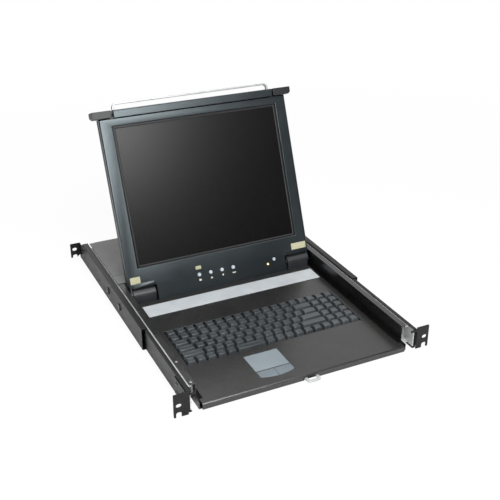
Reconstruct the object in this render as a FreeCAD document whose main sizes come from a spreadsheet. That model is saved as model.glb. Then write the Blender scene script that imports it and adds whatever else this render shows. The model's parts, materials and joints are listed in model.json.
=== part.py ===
# Rackmount LCD console drawer: a 1U sliding tray with a keyboard, a touchpad and a fold-up display.
# Millimetres. X to the right, Y towards the back of the rack, Z up. The origin is midway between
# the two middle holes of the front ears, on the ears' back faces, which lie against the rack posts.
import FreeCAD
import Part
import Sketcher
import math
import os

V = FreeCAD.Vector
doc = FreeCAD.newDocument("console_drawer")
doc.UndoMode = 0

# ---------------------------------------------------------------- driving dimensions
dims = doc.addObject("Spreadsheet::Sheet", "Dims")

DRIVING = [
    # rack interface
    ("rack_width", 482.6), ("ear_reach", 25.3), ("hole_inset", 8.75), ("hole_pitch", 15.875),
    ("panel_height", 43.6), ("mid_hole_height", 21.8), ("ear_sheet", 2.0), ("ear_leg_length", 60.0),
    ("ear_leg_margin", 6.0), ("ear_slot_length", 9.4), ("ear_slot_width", 6.8),
    ("keeper_reach", 11.0), ("keeper_height", 4.4), ("keeper_clear", 0.5),
    # rails fixed to the rack
    ("rail_sheet", 1.5), ("rail_flange", 6.5), ("rail_bottom", 2.0), ("rail_top", 41.5),
    ("rail_length", 575.0), ("rail_bend", 1.4), ("rail_slot_margin", 25.0), ("rail_slot_length", 250.0),
    ("rail_slot_width", 6.6),
    # rear brackets
    ("bracket_gap", 4.0), ("bracket_front", 203.0), ("bracket_rear", 605.0), ("bracket_flange", 11.5),
    ("bracket_clear", 0.3), ("rear_ear_bottom", 3.0), ("rear_ear_top", 35.0), ("bracket_slope", 12.0),
    ("clamp_start", 330.0), ("clamp_pitch", 70.0), ("clamp_neck", 6.0), ("clamp_nut", 10.8),
    ("clamp_head", 2.2), ("clamp_plate", 1.4), ("clamp_plate_height", 16.0), ("clamp_plate_end", 10.0),
    ("clamp_clear", 0.2),
    # telescopic slides
    ("slide_standoff", 2.3), ("slide_centre", 21.75), ("slide_half", 17.0), ("slide_web", 1.2),
    ("slide_flange", 1.6), ("middle_web", 1.0), ("web_gap", 0.6), ("flange_reach", 8.8),
    ("slide_stack", 15.0), ("ball_radius", 1.6), ("ball_clear", 0.03), ("flange_gap", 2.3),
    ("outer_ball_inset", 4.8), ("inner_ball_inset", 7.6), ("inner_flange_reach", 10.4),
    ("slide_front", 1.5), ("slide_mouth", 17.5), ("slide_end", 560.0), ("middle_front", 30.0),
    ("middle_length", 470.0), ("inner_front", 28.0), ("inner_length", 532.0), ("cage_front", 150.0),
    ("cage_length", 200.0), ("cage_sheet", 0.8), ("cage_width", 6.0), ("cage_end", 20.0),
    ("spacer_length", 14.0), ("spacer_height", 9.0), ("spacer_front", 50.0), ("spacer_rear", 565.0),
    # sliding tray
    ("tray_sheet", 1.2), ("tray_bottom", 0.8), ("tray_top", 41.5), ("tray_flange", 9.3),
    ("tray_front", 2.0), ("wall_front", 16.5), ("wall_front_top", 13.0), ("tray_rear", 573.0),
    # keyboard deck
    ("deck_margin", 10.0), ("lip_margin", 3.5), ("lip_depth", 15.0), ("deck_front", -2.0),
    ("deck_gap", 8.3), ("deck_front_height", 12.2), ("deck_rear_height", 16.6),
    ("deck_wall", 2.2), ("deck_foot", 0.1), ("lip_bevel", 1.8),
    ("key_pitch", 19.05), ("key_gap", 2.2), ("key_taper", 2.4), ("key_rise", 3.3),
    ("key_skirt", 11.0), ("key_centre", -2.7), ("key_front", 106.5), ("key_field_margin", 0.9),
    ("key_stem", 4.0), ("key_stem_bottom", 5.0), ("stem_clear", 0.3), ("plate_height", 6.5),
    ("plate_sheet", 1.5), ("plate_rim", 3.0),
    ("pad_centre", -46.0), ("pad_width", 64.0), ("pad_front", 41.0), ("pad_depth", 49.0),
    ("pad_sheet", 1.6), ("pad_recess", 0.4), ("pad_foot", 6.0), ("pad_button_gap", 2.6),
    ("pad_button_depth", 15.9), ("pad_button_bow", 6.0), ("pad_button_thickness", 3.0),
    ("pad_button_rise", 0.5), ("piece_clear", 0.3),
    ("strip_margin", 5.0), ("strip_front", 278.0), ("strip_depth", 39.0), ("strip_sheet", 1.0),
    ("pull_centre", 5.0), ("pull_width", 26.0), ("pull_reach", 13.0), ("pull_sheet", 3.0),
    ("pull_band", 5.0), ("pull_bottom", 3.0), ("pull_foot", 3.0), ("pull_rear", 10.0),
    # electronics chassis behind the tray
    ("chassis_front", 380.0), ("cover_seam", 415.7), ("seam_gap", 0.6), ("cover_lap", 0.5),
    ("cover_sheet", 1.0), ("cover_hem", 5.0), ("panel_sheet", 1.5), ("wall_clear", 0.2),
    ("inlet_x", 150.0), ("inlet_width", 27.6), ("inlet_height", 19.8), ("inlet_depth", 24.0),
    ("inlet_wall", 2.0), ("inlet_floor", 4.0), ("inlet_corner", 4.0), ("blade_width", 2.0),
    ("blade_height", 4.0), ("blade_pitch", 7.0), ("blade_recess", 6.0),
    ("switch_x", 112.0), ("switch_width", 12.8), ("switch_height", 19.0), ("switch_wall", 1.2),
    ("rocker_depth", 5.0), ("rocker_root", 1.5), ("rocker_edge", 3.4), ("rocker_low", 0.8), ("rocker_high", 2.2),
    ("rocker_dip", 0.6), ("rocker_trim", 0.3), ("rocker_clear", 1.4),
    ("port_height", 11.0), ("video_x", 30.0), ("video_width", 17.0), ("data_x", 62.0),
    ("data_width", 12.0), ("port_depth", 12.0), ("port_centre", 20.0), ("port_wall", 1.0),
    ("vent_pitch", 12.0), ("vent_width", 8.0), ("vent_height", 3.0), ("vent_x", -108.0),
    ("supply_width", 93.0), ("supply_margin", 8.0), ("supply_front", 430.0), ("supply_rear", 543.0),
    ("board_margin", 12.0), ("board_lift", 6.0), ("board_sheet", 1.6), ("post_width", 6.0),
    # display hinge
    ("hinge_y", 351.7), ("hinge_height", 26.2), ("lid_tilt", 21.65), ("hinge_radius", 10.4),
    ("pin_radius", 5.0), ("pin_clear", 0.05), ("block_margin", 8.0), ("block_length", 45.0),
    ("pin_end", 1.5), ("arm_gap", 0.5), ("arm_sheet", 3.0), ("arm_radius", 8.0),
    ("arm_length", 47.0), ("foot_width", 38.0), ("foot_sheet", 2.0),
    # display lid, measured from the hinge axis
    ("lid_margin", 2.0), ("lid_face", 6.7), ("lid_back", 13.3), ("lid_split", 1.5), ("lid_wall", 1.8),
    ("bezel_wall", 2.2), ("heel_gap", 2.6), ("lid_height", 323.2), ("chin_gap", 4.0),
    ("chin_radius", 19.5), ("side_border", 24.5), ("top_border", 15.7), ("screen_bottom", 50.5),
    ("screen_bevel", 1.6), ("lid_corner", 3.0), ("cap_rise", 1.4), ("cap_height", 8.0),
    ("lcd_margin", 8.0), ("lcd_lap", 10.0), ("lcd_depth", 11.0),
    ("bar_margin", 31.3), ("bar_height", 14.7), ("bar_face", 12.0), ("bar_back", 12.0), ("bar_round", 3.0),
    ("catch_gap", 4.3), ("catch_lap", 3.2), ("catch_height", 14.2), ("catch_face", 11.0),
    ("catch_tongue", 21.0), ("tongue_rise", 2.8), ("tongue_height", 6.0), ("tongue_half", 4.0),
    ("catch_travel_room", 5.0), ("catch_chamfer", 4.0),
    ("handle_margin", 1.7), ("handle_rise", 13.4), ("handle_sheet", 3.4), ("handle_depth", 8.0),
    ("handle_bend", 9.0), ("handle_back", 7.0),
    ("osd_first", -50.0), ("osd_pitch", 24.3), ("osd_dia", 7.0),
    ("osd_line", 13.2), ("button_proud", 0.8), ("button_depth", 3.0), ("button_flange", 1.0),
    ("flange_sheet", 0.8), ("flange_clear", 0.1),
    ("lamp_x", 99.0), ("lamp_line", 3.7), ("lamp_dia", 4.4), ("display_switch_x", 114.0),
    ("display_switch_line", 11.0), ("display_switch_dia", 6.4),
    ("corner_pad_line", 28.0), ("corner_pad_height", 13.0), ("corner_pad_sheet", 0.8),
    ("left_pad_width", 20.0), ("right_pad_width", 33.0), ("corner_pad_edge", 4.5),
    ("board_half", 120.0), ("board_bottom", -6.0), ("board_top", 32.0), ("board_face", 6.0),
]


class Size:
    """A length together with the sheet expression that gives it, so that sums stay bound to the sheet."""

    def __init__(self, value, text):
        self.value = value
        self.text = text

    def __add__(self, other):
        return Size(self.value + number(other), f"({self.text} + {words(other)})")

    def __sub__(self, other):
        return Size(self.value - number(other), f"({self.text} - {words(other)})")

    def __mul__(self, other):
        return Size(self.value * number(other), f"({self.text} * {words(other)})")

    def __truediv__(self, other):
        return Size(self.value / number(other), f"({self.text} / {words(other)})")

    def __radd__(self, other):
        return Size(number(other) + self.value, f"({words(other)} + {self.text})")

    def __rsub__(self, other):
        return Size(number(other) - self.value, f"({words(other)} - {self.text})")

    def __rmul__(self, other):
        return Size(number(other) * self.value, f"({words(other)} * {self.text})")

    def __neg__(self):
        return Size(-self.value, f"(0 - {self.text})")


def number(size):
    return size.value if isinstance(size, Size) else float(size)


def words(size):
    return size.text if isinstance(size, Size) else repr(float(size))


def root(size):
    return Size(math.sqrt(number(size)), f"sqrt({words(size)})")


class Sheet:
    """The driving dimensions by name: d.rail_outer is a Size bound to the sheet's cell."""

    def __init__(self, rows):
        for line, (name, value) in enumerate(rows, 1):
            dims.set(f"A{line}", name)
            dims.set(f"B{line}", str(value))
            dims.setAlias(f"B{line}", name)
            setattr(self, name, Size(float(value), f"Dims.{name}"))


d = Sheet(DRIVING)
doc.recompute()

# ---------------------------------------------------------------- sizes that follow from others
rack_half = d.rack_width * 0.5
rail_outer = rack_half - d.ear_reach
rail_inner = rail_outer - d.rail_sheet
rail_slot_end = d.rail_length - d.rail_slot_margin
rail_slot_start = rail_slot_end - d.rail_slot_length
slide_face = rail_inner - d.slide_standoff
tray_face = slide_face - d.slide_stack
tray_half = tray_face - d.tray_sheet
floor_top = d.tray_bottom + d.tray_sheet
deck_half = tray_half - d.deck_margin
lid_half = tray_half - d.lid_margin
deck_rear = d.hinge_y - d.hinge_radius - d.deck_gap
block_outer = tray_half - d.block_margin
block_inner = block_outer - d.block_length
arm_inner = block_outer + d.arm_gap
chin_half = block_inner - d.chin_gap
lid_heel = d.hinge_radius + d.heel_gap
lid_top = lid_heel + d.lid_height
screen_half = lid_half - d.side_border
screen_top = lid_top - d.top_border
bar_half = tray_half - d.bar_margin
bar_top = lid_top + d.bar_height
key_left = d.key_centre - d.key_pitch * 9
pad_rear = d.pad_front + d.pad_depth
button_rear = d.pad_front - d.pad_button_gap
button_side = button_rear - d.pad_button_depth
button_middle = button_side - d.pad_button_bow


zero = d.rack_width * 0


# ---------------------------------------------------------------- how pieces are made
PLANES = {"XY": ("XY_Plane", 1), "XZ": ("XZ_Plane", -1), "YZ": ("YZ_Plane", 1)}
pieces = []


def bind(item, prop, size):
    """Sets a property from a Size by expression, or from a plain number directly."""
    item.setExpression(prop, words(size))


def name_piece(item, label):
    item.Label = label
    pieces.append(item)
    return item


def in_the_unit(item):
    """Heights inside a piece count from the bottom of the unit; its Placement brings them to the origin."""
    bind(item, ".Placement.Base.z", -d.mid_hole_height)
    return item


def in_the_lid(item):
    """Lid pieces are drawn about the hinge axis and stand at the lid's tilt."""
    bind(item, ".Placement.Base.y", d.hinge_y)
    bind(item, ".Placement.Base.z", d.hinge_height - d.mid_hole_height)
    item.setExpression(".Placement.Rotation.Axis.x", "-1")
    item.setExpression(".Placement.Rotation.Axis.y", "0")
    item.setExpression(".Placement.Rotation.Axis.z", "0")
    item.setExpression(".Placement.Rotation.Angle", d.lid_tilt.text)
    return item


def new_body(label, place=in_the_unit):
    body = name_piece(doc.addObject("PartDesign::Body", label), label)
    return place(body)


class Arc:
    """Between two corners of an outline: a round stretch about a centre, anticlockwise or clockwise."""

    def __init__(self, x, y, clockwise=False):
        self.x = x
        self.y = y
        self.clockwise = clockwise


class Circle:
    def __init__(self, x, y, radius):
        self.x = x
        self.y = y
        self.radius = radius


def fix_point(sketch, geometry, vertex, x, y, fixed):
    for kind, size in (("DistanceX", x), ("DistanceY", y)):
        if size is not None:
            fixed.append((Sketcher.Constraint(kind, -1, 1, geometry, vertex, number(size)), size))


def draw_loop(sketch, loop, fixed):
    """Draws one closed outline of corners, with an Arc between two corners where it is round."""
    if isinstance(loop, Circle):
        middle = V(number(loop.x), number(loop.y), 0)
        at = sketch.addGeometry(Part.Circle(middle, V(0, 0, 1), number(loop.radius)))
        fix_point(sketch, at, 3, loop.x, loop.y, fixed)
        fixed.append((Sketcher.Constraint("Radius", at, number(loop.radius)), loop.radius))
        return
    corners = [c for c in loop if not isinstance(c, Arc)]
    arcs = {}
    for i, item in enumerate(loop):
        if isinstance(item, Arc):
            arcs[sum(1 for c in loop[:i] if not isinstance(c, Arc)) - 1] = item
    ends = []
    for i, (x, y) in enumerate(corners):
        nx, ny = corners[(i + 1) % len(corners)]
        a, b = V(number(x), number(y), 0), V(number(nx), number(ny), 0)
        arc = arcs.get(i)
        if arc is None:
            at = sketch.addGeometry(Part.LineSegment(a, b))
            start, end = (at, 1), (at, 2)
        else:
            c = V(number(arc.x), number(arc.y), 0)
            first, last = (b, a) if arc.clockwise else (a, b)
            angles = [math.atan2((p - c).y, (p - c).x) for p in (first, last)]
            circle = Part.Circle(c, V(0, 0, 1), (a - c).Length)
            at = sketch.addGeometry(Part.ArcOfCircle(circle, angles[0], angles[1]))
            start, end = ((at, 2), (at, 1)) if arc.clockwise else ((at, 1), (at, 2))
            flat = abs((b - a).x) > abs((b - a).y)
            fix_point(sketch, at, 3, None if flat else arc.x, arc.y if flat else None, fixed)
        ends.append((start, end))
    for i, (x, y) in enumerate(corners):
        before, after = ends[i - 1][1], ends[i][0]
        fixed.append((Sketcher.Constraint("Coincident", *before, *after), None))
        fix_point(sketch, *after, x, y, fixed)


def draw(body, plane, at, loops):
    """A fully constrained sketch on one of the body's own origin planes, moved along its normal."""
    role, sign = PLANES[plane]
    sketch = body.newObject("Sketcher::SketchObject", body.Label + "_sketch")
    face = next(f for f in body.Origin.OriginFeatures if f.Role == role)
    sketch.AttachmentSupport = (face, [""])
    sketch.MapMode = "FlatFace"
    bind(sketch, "AttachmentOffset.Base.z", at * sign)
    fixed = []
    for loop in loops:
        draw_loop(sketch, loop, fixed)
    sketch.addConstraint([c for c, _ in fixed])
    for i, (_, size) in enumerate(fixed):
        if isinstance(size, Size):
            sketch.setExpression(f"Constraints[{i}]", size.text)
    sketch.Visibility = False
    return sketch


def pad(body, plane, low, high, *loops):
    """Adds material between two places along the plane's normal axis."""
    start = low if PLANES[plane][1] > 0 else high
    item = body.newObject("PartDesign::Pad", body.Label + "_pad")
    item.Profile = draw(body, plane, start, loops)
    bind(item, "Length", high - low)
    body.Tip = item
    return item


def pocket(body, plane, low, high, *loops):
    """Takes material away between two places along the plane's normal axis."""
    start = high if PLANES[plane][1] > 0 else low
    item = body.newObject("PartDesign::Pocket", body.Label + "_pocket")
    item.Profile = draw(body, plane, start, loops)
    bind(item, "Length", high - low)
    body.Tip = item
    return item


def rect(x0, x1, y0, y1):
    return [(x0, y0), (x1, y0), (x1, y1), (x0, y1)]


def slot(x, y, length, width):
    """A slot with round ends along the sketch's X."""
    run, r = (length - width) * 0.5, width * 0.5
    return [(x - run, y - r), (x + run, y - r), Arc(x + run, y),
            (x + run, y + r), (x - run, y + r), Arc(x - run, y)]


def octagon(x, y, half):
    """An eight-sided outline about a point, for small round parts."""
    side = half * SIDE_SHARE
    return [(x - side, y - half), (x + side, y - half), (x + half, y - side), (x + half, y + side),
            (x + side, y + half), (x - side, y + half), (x - half, y + side), (x - half, y - side)]


def round_edges(body, radius, test, kind="Fillet"):
    """Rounds or chamfers the edges of the body's last feature whose two ends both pass a test."""
    doc.recompute()
    base = body.Tip
    names = []
    for i, edge in enumerate(base.Shape.Edges, 1):
        ends = [v.Point for v in edge.Vertexes]
        middle = edge.valueAt((edge.FirstParameter + edge.LastParameter) / 2)
        if len(ends) == 2 and all(test(p) for p in ends + [middle]):
            names.append(f"Edge{i}")
    item = body.newObject(f"PartDesign::{kind}", body.Label + "_edges")
    item.Base = (base, names)
    bind(item, "Radius" if kind == "Fillet" else "Size", radius)
    body.Tip = item
    return item


def near(a, b):
    return abs(a - number(b)) < 1e-4


def within(a, low, high):
    return number(low) - 0.01 < a < number(high) + 0.01


def box(x0, x1, y0, y1, z0, z1):
    item = doc.addObject("Part::Box", "box")
    bind(item, "Length", x1 - x0)
    bind(item, "Width", y1 - y0)
    bind(item, "Height", z1 - z0)
    for axis, low in zip("xyz", (x0, y0, z0)):
        bind(item, f".Placement.Base.{axis}", low)
    return item


def rod(axis, low, high, a, b, radius):
    """A cylinder along X, Y or Z between two places, centred on the other two coordinates."""
    item = doc.addObject("Part::Cylinder", "rod")
    bind(item, "Radius", radius)
    bind(item, "Height", high - low)
    turn = {"X": (V(0, 1, 0), 90), "Y": (V(-1, 0, 0), 90), "Z": (V(0, 0, 1), 0)}[axis]
    item.Placement.Rotation = FreeCAD.Rotation(*turn)
    places = {"X": (low, a, b), "Y": (a, low, b), "Z": (a, b, low)}[axis]
    for letter, place in zip("xyz", places):
        bind(item, f".Placement.Base.{letter}", place)
    return item


def joined(items):
    """One solid from several overlapping ones."""
    if len(items) == 1:
        return items[0]
    item = doc.addObject("Part::MultiFuse", "joined")
    item.Shapes = items
    item.Refine = True
    return item


def cut(base, tools):
    item = doc.addObject("Part::Cut", "cut")
    item.Base = base
    item.Tool = joined(tools)
    item.Refine = True
    return item


def group(label, solids, place=in_the_unit):
    """Identical or related pieces that ride together, kept as separate solids in one node."""
    item = doc.addObject("Part::Compound", label)
    item.Links = solids
    return place(name_piece(item, label))


def single(label, item, place=in_the_unit):
    """A piece made by one boolean; its own Placement moves the whole of it."""
    holder = doc.addObject("Part::Compound", label)
    holder.Links = [item]
    return place(name_piece(holder, label))


def across(side, one, other):
    """The two X places of a piece on the left or right side, the lower one first."""
    return sorted([side * one, side * other], key=number)


SIDES = (("left", -1), ("right", 1))
# half of a ball's flats across, as a share of its radius: its eight corners then lie on the radius
BALL_FLAT = math.sqrt(2 / 3)
# half of an eight-sided outline's side, as a share of half its width
SIDE_SHARE = math.tan(math.pi / 8)

# ---------------------------------------------------------------- rails, ears and brackets
def channel(side, outer, sheet, reach, bottom, top):
    """The section of a channel that opens towards the drawer."""
    return [(side * outer, bottom), (side * outer, top), (side * (outer - reach), top),
            (side * (outer - reach), top - sheet), (side * (outer - sheet), top - sheet),
            (side * (outer - sheet), bottom + sheet), (side * (outer - reach), bottom + sheet),
            (side * (outer - reach), bottom)]


def make_rail(name, side):
    body = new_body(f"rail_{name}")
    pad(body, "XZ", zero, d.rail_length,
        channel(side, rail_outer, d.rail_sheet, d.rail_flange, d.rail_bottom, d.rail_top))
    round_edges(body, d.rail_bend, lambda p: near(abs(p.x), rail_outer) and (
        near(p.z, d.rail_bottom) or near(p.z, d.rail_top)))
    middle = (rail_slot_start + rail_slot_end) * 0.5
    edge = across(side, rail_inner - 1, rail_outer + 1)
    pocket(body, "YZ", edge[0], edge[1],
           slot(middle, d.mid_hole_height, rail_slot_end - rail_slot_start, d.rail_slot_width))


def rack_slots(side, bottom):
    """The middle slot, and the lower one, which is open at the bottom edge."""
    low = d.mid_hole_height - d.hole_pitch
    x = side * (rack_half - d.hole_inset)
    run, r = (d.ear_slot_length - d.ear_slot_width) * 0.5, d.ear_slot_width * 0.5
    notch = [(x - run - r, bottom - 1), (x + run + r, bottom - 1), (x + run + r, low), Arc(x + run, low),
             (x + run, low + r), (x - run, low + r), Arc(x - run, low), (x - run - r, low)]
    return slot(x, d.mid_hole_height, d.ear_slot_length, d.ear_slot_width), notch


def make_front_ear(name, side):
    body = new_body(f"front_ear_{name}")
    plate = across(side, rail_outer, rack_half)
    pad(body, "XZ", -d.ear_sheet, zero, rect(plate[0], plate[1], zero, d.panel_height))
    leg = across(side, rail_outer, rail_outer + d.ear_sheet)
    low, high = d.ear_leg_margin, d.panel_height - d.ear_leg_margin
    end = d.ear_leg_length
    pad(body, "YZ", leg[0], leg[1],
        [(-d.ear_sheet, low), (end - low, low), (end, low * 2), (end, high - low), (end - low, high),
         (-d.ear_sheet, high)])
    lug = across(side, rail_outer + 1, rail_inner - d.keeper_reach)
    low = d.slide_centre + middle_top + d.keeper_clear
    pad(body, "XZ", -d.ear_sheet, zero, rect(lug[0], lug[1], low, low + d.keeper_height))
    round_edges(body, d.ear_sheet, lambda p: near(abs(p.x), rack_half) and (
        near(p.z, 0) or near(p.z, d.panel_height)))
    pocket(body, "XZ", -d.ear_sheet * 2, d.ear_sheet, *rack_slots(side, zero))


def spacer_places():
    """Where the slides are held to the rails: near the front, just before the long slot and at the rear."""
    return [d.spacer_front, rail_slot_start - d.spacer_length, d.spacer_rear - d.spacer_length]


def make_spacers():
    """Spacer pads between each slide and its rail, above and below at each place."""
    solids = []
    for _, side in SIDES:
        x = across(side, slide_face, rail_inner)
        for y in spacer_places():
            for offset in (d.slide_half * 0.5, -d.slide_half * 0.5):
                low = d.slide_centre + offset - d.spacer_height * 0.5
                solids.append(box(x[0], x[1], y, y + d.spacer_length, low, low + d.spacer_height))
    group("slide_spacers", solids)


bracket_outer = rail_outer + d.bracket_gap + d.rail_sheet
bracket_bottom = d.rail_bottom - d.bracket_clear - d.rail_sheet


def clamp_places():
    return [d.clamp_start, d.clamp_start + d.clamp_pitch]


def make_rear_bracket(name, side):
    body = new_body(f"rear_bracket_{name}")
    top = d.rail_top + d.bracket_clear + d.rail_sheet
    pad(body, "XZ", d.bracket_front, d.bracket_rear,
        channel(side, bracket_outer, d.rail_sheet, d.bracket_flange, bracket_bottom, top))
    foot, root_x = d.rear_ear_bottom, bracket_outer - d.rail_sheet
    pad(body, "XZ", d.bracket_rear - d.ear_sheet, d.bracket_rear,
        [(side * root_x, foot * 3), (side * (bracket_outer + foot), foot * 2),
         (side * (bracket_outer + foot * 2), foot),
         (side * rack_half, foot), (side * rack_half, d.rear_ear_top), (side * root_x, d.rear_ear_top)])
    round_edges(body, d.rail_bend, lambda p: near(abs(p.x), bracket_outer) and (
        near(p.z, bracket_bottom) or near(p.z, top)))
    pocket(body, "XZ", d.bracket_rear - d.ear_sheet * 2, d.bracket_rear + d.ear_sheet,
           *rack_slots(side, foot))
    # behind the rail the upper flange stops and the web slopes down to the ear
    edge = across(side, bracket_outer - d.bracket_flange - 1, bracket_outer + 1)
    pocket(body, "YZ", edge[0], edge[1],
           [(d.rail_length, top + 1), (d.rail_length + d.bracket_slope, d.rear_ear_top),
            (d.bracket_rear + 1, d.rear_ear_top), (d.bracket_rear + 1, top + 1)])
    edge = across(side, bracket_outer - d.rail_sheet - 1, bracket_outer + 1)
    half = d.clamp_neck * 0.5
    pocket(body, "YZ", edge[0], edge[1],
           *[rect(y - half, y + half, d.mid_hole_height - half, d.mid_hole_height + half)
             for y in clamp_places()])


def make_clamp(name, side):
    """Two square-necked bolts through the rail's long slot, with their nuts and the plate that they clamp."""
    plate_face = rail_inner - d.clamp_clear
    level = d.mid_hole_height
    neck, nut = d.clamp_neck * 0.5, d.clamp_nut * 0.5
    parts = []
    for y in clamp_places():
        spans = [(plate_face, bracket_outer, neck), (bracket_outer, bracket_outer + d.clamp_head, nut),
                 (rail_outer + d.clamp_clear, bracket_outer - d.rail_sheet, nut)]
        for low, high, half in spans:
            x = across(side, low, high)
            parts.append(box(x[0], x[1], y - half, y + half, level - half, level + half))
    x = across(side, plate_face, plate_face - d.clamp_plate)
    rise = d.clamp_plate_height * 0.5
    first, last = clamp_places()
    parts.append(box(x[0], x[1], first - d.clamp_plate_end, last + d.clamp_plate_end, level - rise,
                     level + rise))
    single(f"bracket_clamp_{name}", joined(parts))


# ---------------------------------------------------------------- telescopic slides
outer_flange_in = d.slide_half - d.slide_flange
outer_ball = outer_flange_in - d.flange_gap * 0.5
middle_top = outer_flange_in - d.flange_gap
middle_in = middle_top - d.slide_flange
inner_ball = middle_in - d.flange_gap * 0.5
inner_top = middle_in - d.flange_gap
outer_ball_x = slide_face - d.outer_ball_inset
inner_ball_x = slide_face - d.inner_ball_inset
middle_face = slide_face - d.slide_web - d.web_gap
race = d.ball_radius + d.ball_clear
race_half = root(race * race - d.flange_gap * d.flange_gap * 0.25)


def raceway(side, x, level, centre, outward):
    """Three outline items that let a ball's groove into a flange face, running inwards or outwards in X."""
    first = x + race_half * outward
    last = x - race_half * outward
    up = level.value > centre.value
    clockwise = (side * outward > 0) != up
    return [(side * first, d.slide_centre + level), Arc(side * x, d.slide_centre + centre, clockwise),
            (side * last, d.slide_centre + level)]


def slide_profile(side, top, thick, web_at, web, reach_to, grooves_in, grooves_out):
    """A channel section whose flanges hold ball grooves on their inner and outer faces."""
    loop = []
    inwards = 1 if number(web_at) > number(reach_to) else -1
    for half in (1, -1):
        outer_level = top * half
        inner_level = (top - thick) * half
        run_out = [(side * web_at, d.slide_centre + outer_level)]
        for x, centre in grooves_out:
            run_out += raceway(side, x, outer_level, centre * half, inwards)
        run_out.append((side * reach_to, d.slide_centre + outer_level))
        run_in = [(side * reach_to, d.slide_centre + inner_level)]
        for x, centre in grooves_in:
            run_in += raceway(side, x, inner_level, centre * half, -inwards)
        run_in.append((side * web, d.slide_centre + inner_level))
        loop.append(run_out + run_in)
    lower = []
    for item in reversed(loop[1]):
        lower.append(Arc(item.x, item.y, not item.clockwise) if isinstance(item, Arc) else item)
    return loop[0] + lower


def make_slide(name, side):
    outer = new_body(f"slide_outer_{name}")
    end = slide_face - d.flange_reach
    mouth = across(side, end - 1, slide_face - d.slide_web)
    pad(outer, "XZ", d.slide_front, d.slide_end,
        slide_profile(side, d.slide_half, d.slide_flange, slide_face, slide_face - d.slide_web, end,
                      [(outer_ball_x, outer_ball)], []))
    # the flanges stop short of the front, which leaves room for the lid's catches
    pocket(outer, "XZ", d.slide_front - 1, d.slide_mouth,
           rect(mouth[0], mouth[1], d.slide_centre - d.slide_half - 1, d.slide_centre + d.slide_half + 1))

    middle = new_body(f"slide_middle_{name}")
    pad(middle, "XZ", d.middle_front, d.middle_front + d.middle_length,
        slide_profile(side, middle_top, d.slide_flange, middle_face, middle_face - d.middle_web, end,
                      [(inner_ball_x, inner_ball)], [(outer_ball_x, outer_ball)]))
    edge = across(side, middle_face - d.middle_web - 1, middle_face + 1)
    pocket(middle, "YZ", edge[0], edge[1],
           *[slot(d.middle_front + d.middle_length * share, d.slide_centre, d.middle_length * 0.2,
                  d.slide_half * 0.5) for share in (0.25, 0.75)])

    inner = new_body(f"slide_inner_{name}")
    pad(inner, "XZ", d.inner_front, d.inner_front + d.inner_length,
        slide_profile(side, inner_top, d.slide_flange, tray_face, tray_face + d.slide_web,
                      tray_face + d.inner_flange_reach, [], [(inner_ball_x, inner_ball)]))


def ball(x, y, z):
    """A bearing ball as a cube cut by a bar turned half a right angle about each axis."""
    half = d.ball_radius * BALL_FLAT
    long, corner = d.ball_radius, half * math.sqrt(2)
    parts = [box(x - half, x + half, y - half, y + half, z - half, z + half)]
    bars = [((1, 0, 0), (long, half, half), (x - long, y, z - corner)),
            ((0, 1, 0), (half, long, half), (x - corner, y - long, z)),
            ((0, 0, 1), (half, half, long), (x, y - corner, z - long))]
    for axis, halves, base in bars:
        bar = doc.addObject("Part::Box", "bar")
        for prop, size in zip(("Length", "Width", "Height"), halves):
            bind(bar, prop, size * 2)
        bar.Placement.Rotation = FreeCAD.Rotation(V(*axis), 45)
        for letter, place in zip("xyz", base):
            bind(bar, f".Placement.Base.{letter}", place)
        parts.append(bar)
    item = doc.addObject("Part::MultiCommon", "ball")
    item.Shapes = parts
    return item


def make_cages(label, ball_x, ball_level):
    """Ball cages above and below on both sides: thin strips with a window for each ball."""
    solids = []
    for _, side in SIDES:
        for half in (1, -1):
            x = side * ball_x
            z = d.slide_centre + ball_level * half
            wide, rear = d.cage_width * 0.5, d.cage_front + d.cage_length
            strip = box(x - wide, x + wide, d.cage_front, rear, z - d.cage_sheet * 0.5, z + d.cage_sheet * 0.5)
            places = (d.cage_front + d.cage_end, rear - d.cage_end)
            room = d.ball_radius + d.ball_clear
            windows = [box(x - room, x + room, y - room, y + room, z - d.cage_sheet, z + d.cage_sheet)
                       for y in places]
            solids.append(cut(strip, windows))
            solids += [ball(x, y, z) for y in places]
    group(label, solids)


# ---------------------------------------------------------------- sliding tray


def make_tray():
    body = new_body("tray_pan")
    pad(body, "XY", d.tray_bottom, floor_top, rect(-tray_face, tray_face, d.tray_front, d.tray_rear))
    flange = tray_face + d.tray_flange
    loops = []
    for _, side in SIDES:
        loops.append([(side * tray_half, d.tray_bottom), (side * tray_face, d.tray_bottom),
                      (side * tray_face, d.tray_top - d.tray_sheet),
                      (side * flange, d.tray_top - d.tray_sheet), (side * flange, d.tray_top),
                      (side * tray_half, d.tray_top)])
    pad(body, "XZ", d.wall_front, d.tray_rear, *loops)
    # the walls are low at the front, under the lid's catches
    edges = [across(side, tray_half, tray_face) for _, side in SIDES]
    pad(body, "XZ", d.tray_front, d.wall_front + 1,
        *[rect(edge[0], edge[1], d.tray_bottom, d.wall_front_top) for edge in edges])


def deck_height(y):
    """The keyboard deck rises gently towards the display."""
    slope = (d.deck_rear_height - d.deck_front_height) / (deck_rear - d.deck_front)
    return d.deck_front_height + (y - d.deck_front) * slope


def deck_section(rear):
    front, wall, foot = d.deck_front, d.deck_wall, floor_top
    lip = d.tray_bottom + d.deck_foot
    return [(front, lip), (front + wall, lip), (front + wall, deck_height(front + wall) - wall),
            (rear - wall, deck_height(rear - wall) - wall), (rear - wall, foot), (rear, foot),
            (rear, deck_height(rear)), (front + d.lip_bevel, deck_height(front + d.lip_bevel)),
            (front, d.deck_front_height - d.lip_bevel)]


def row_middle(row):
    return d.key_front + d.key_pitch * (row + 0.5)


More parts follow.
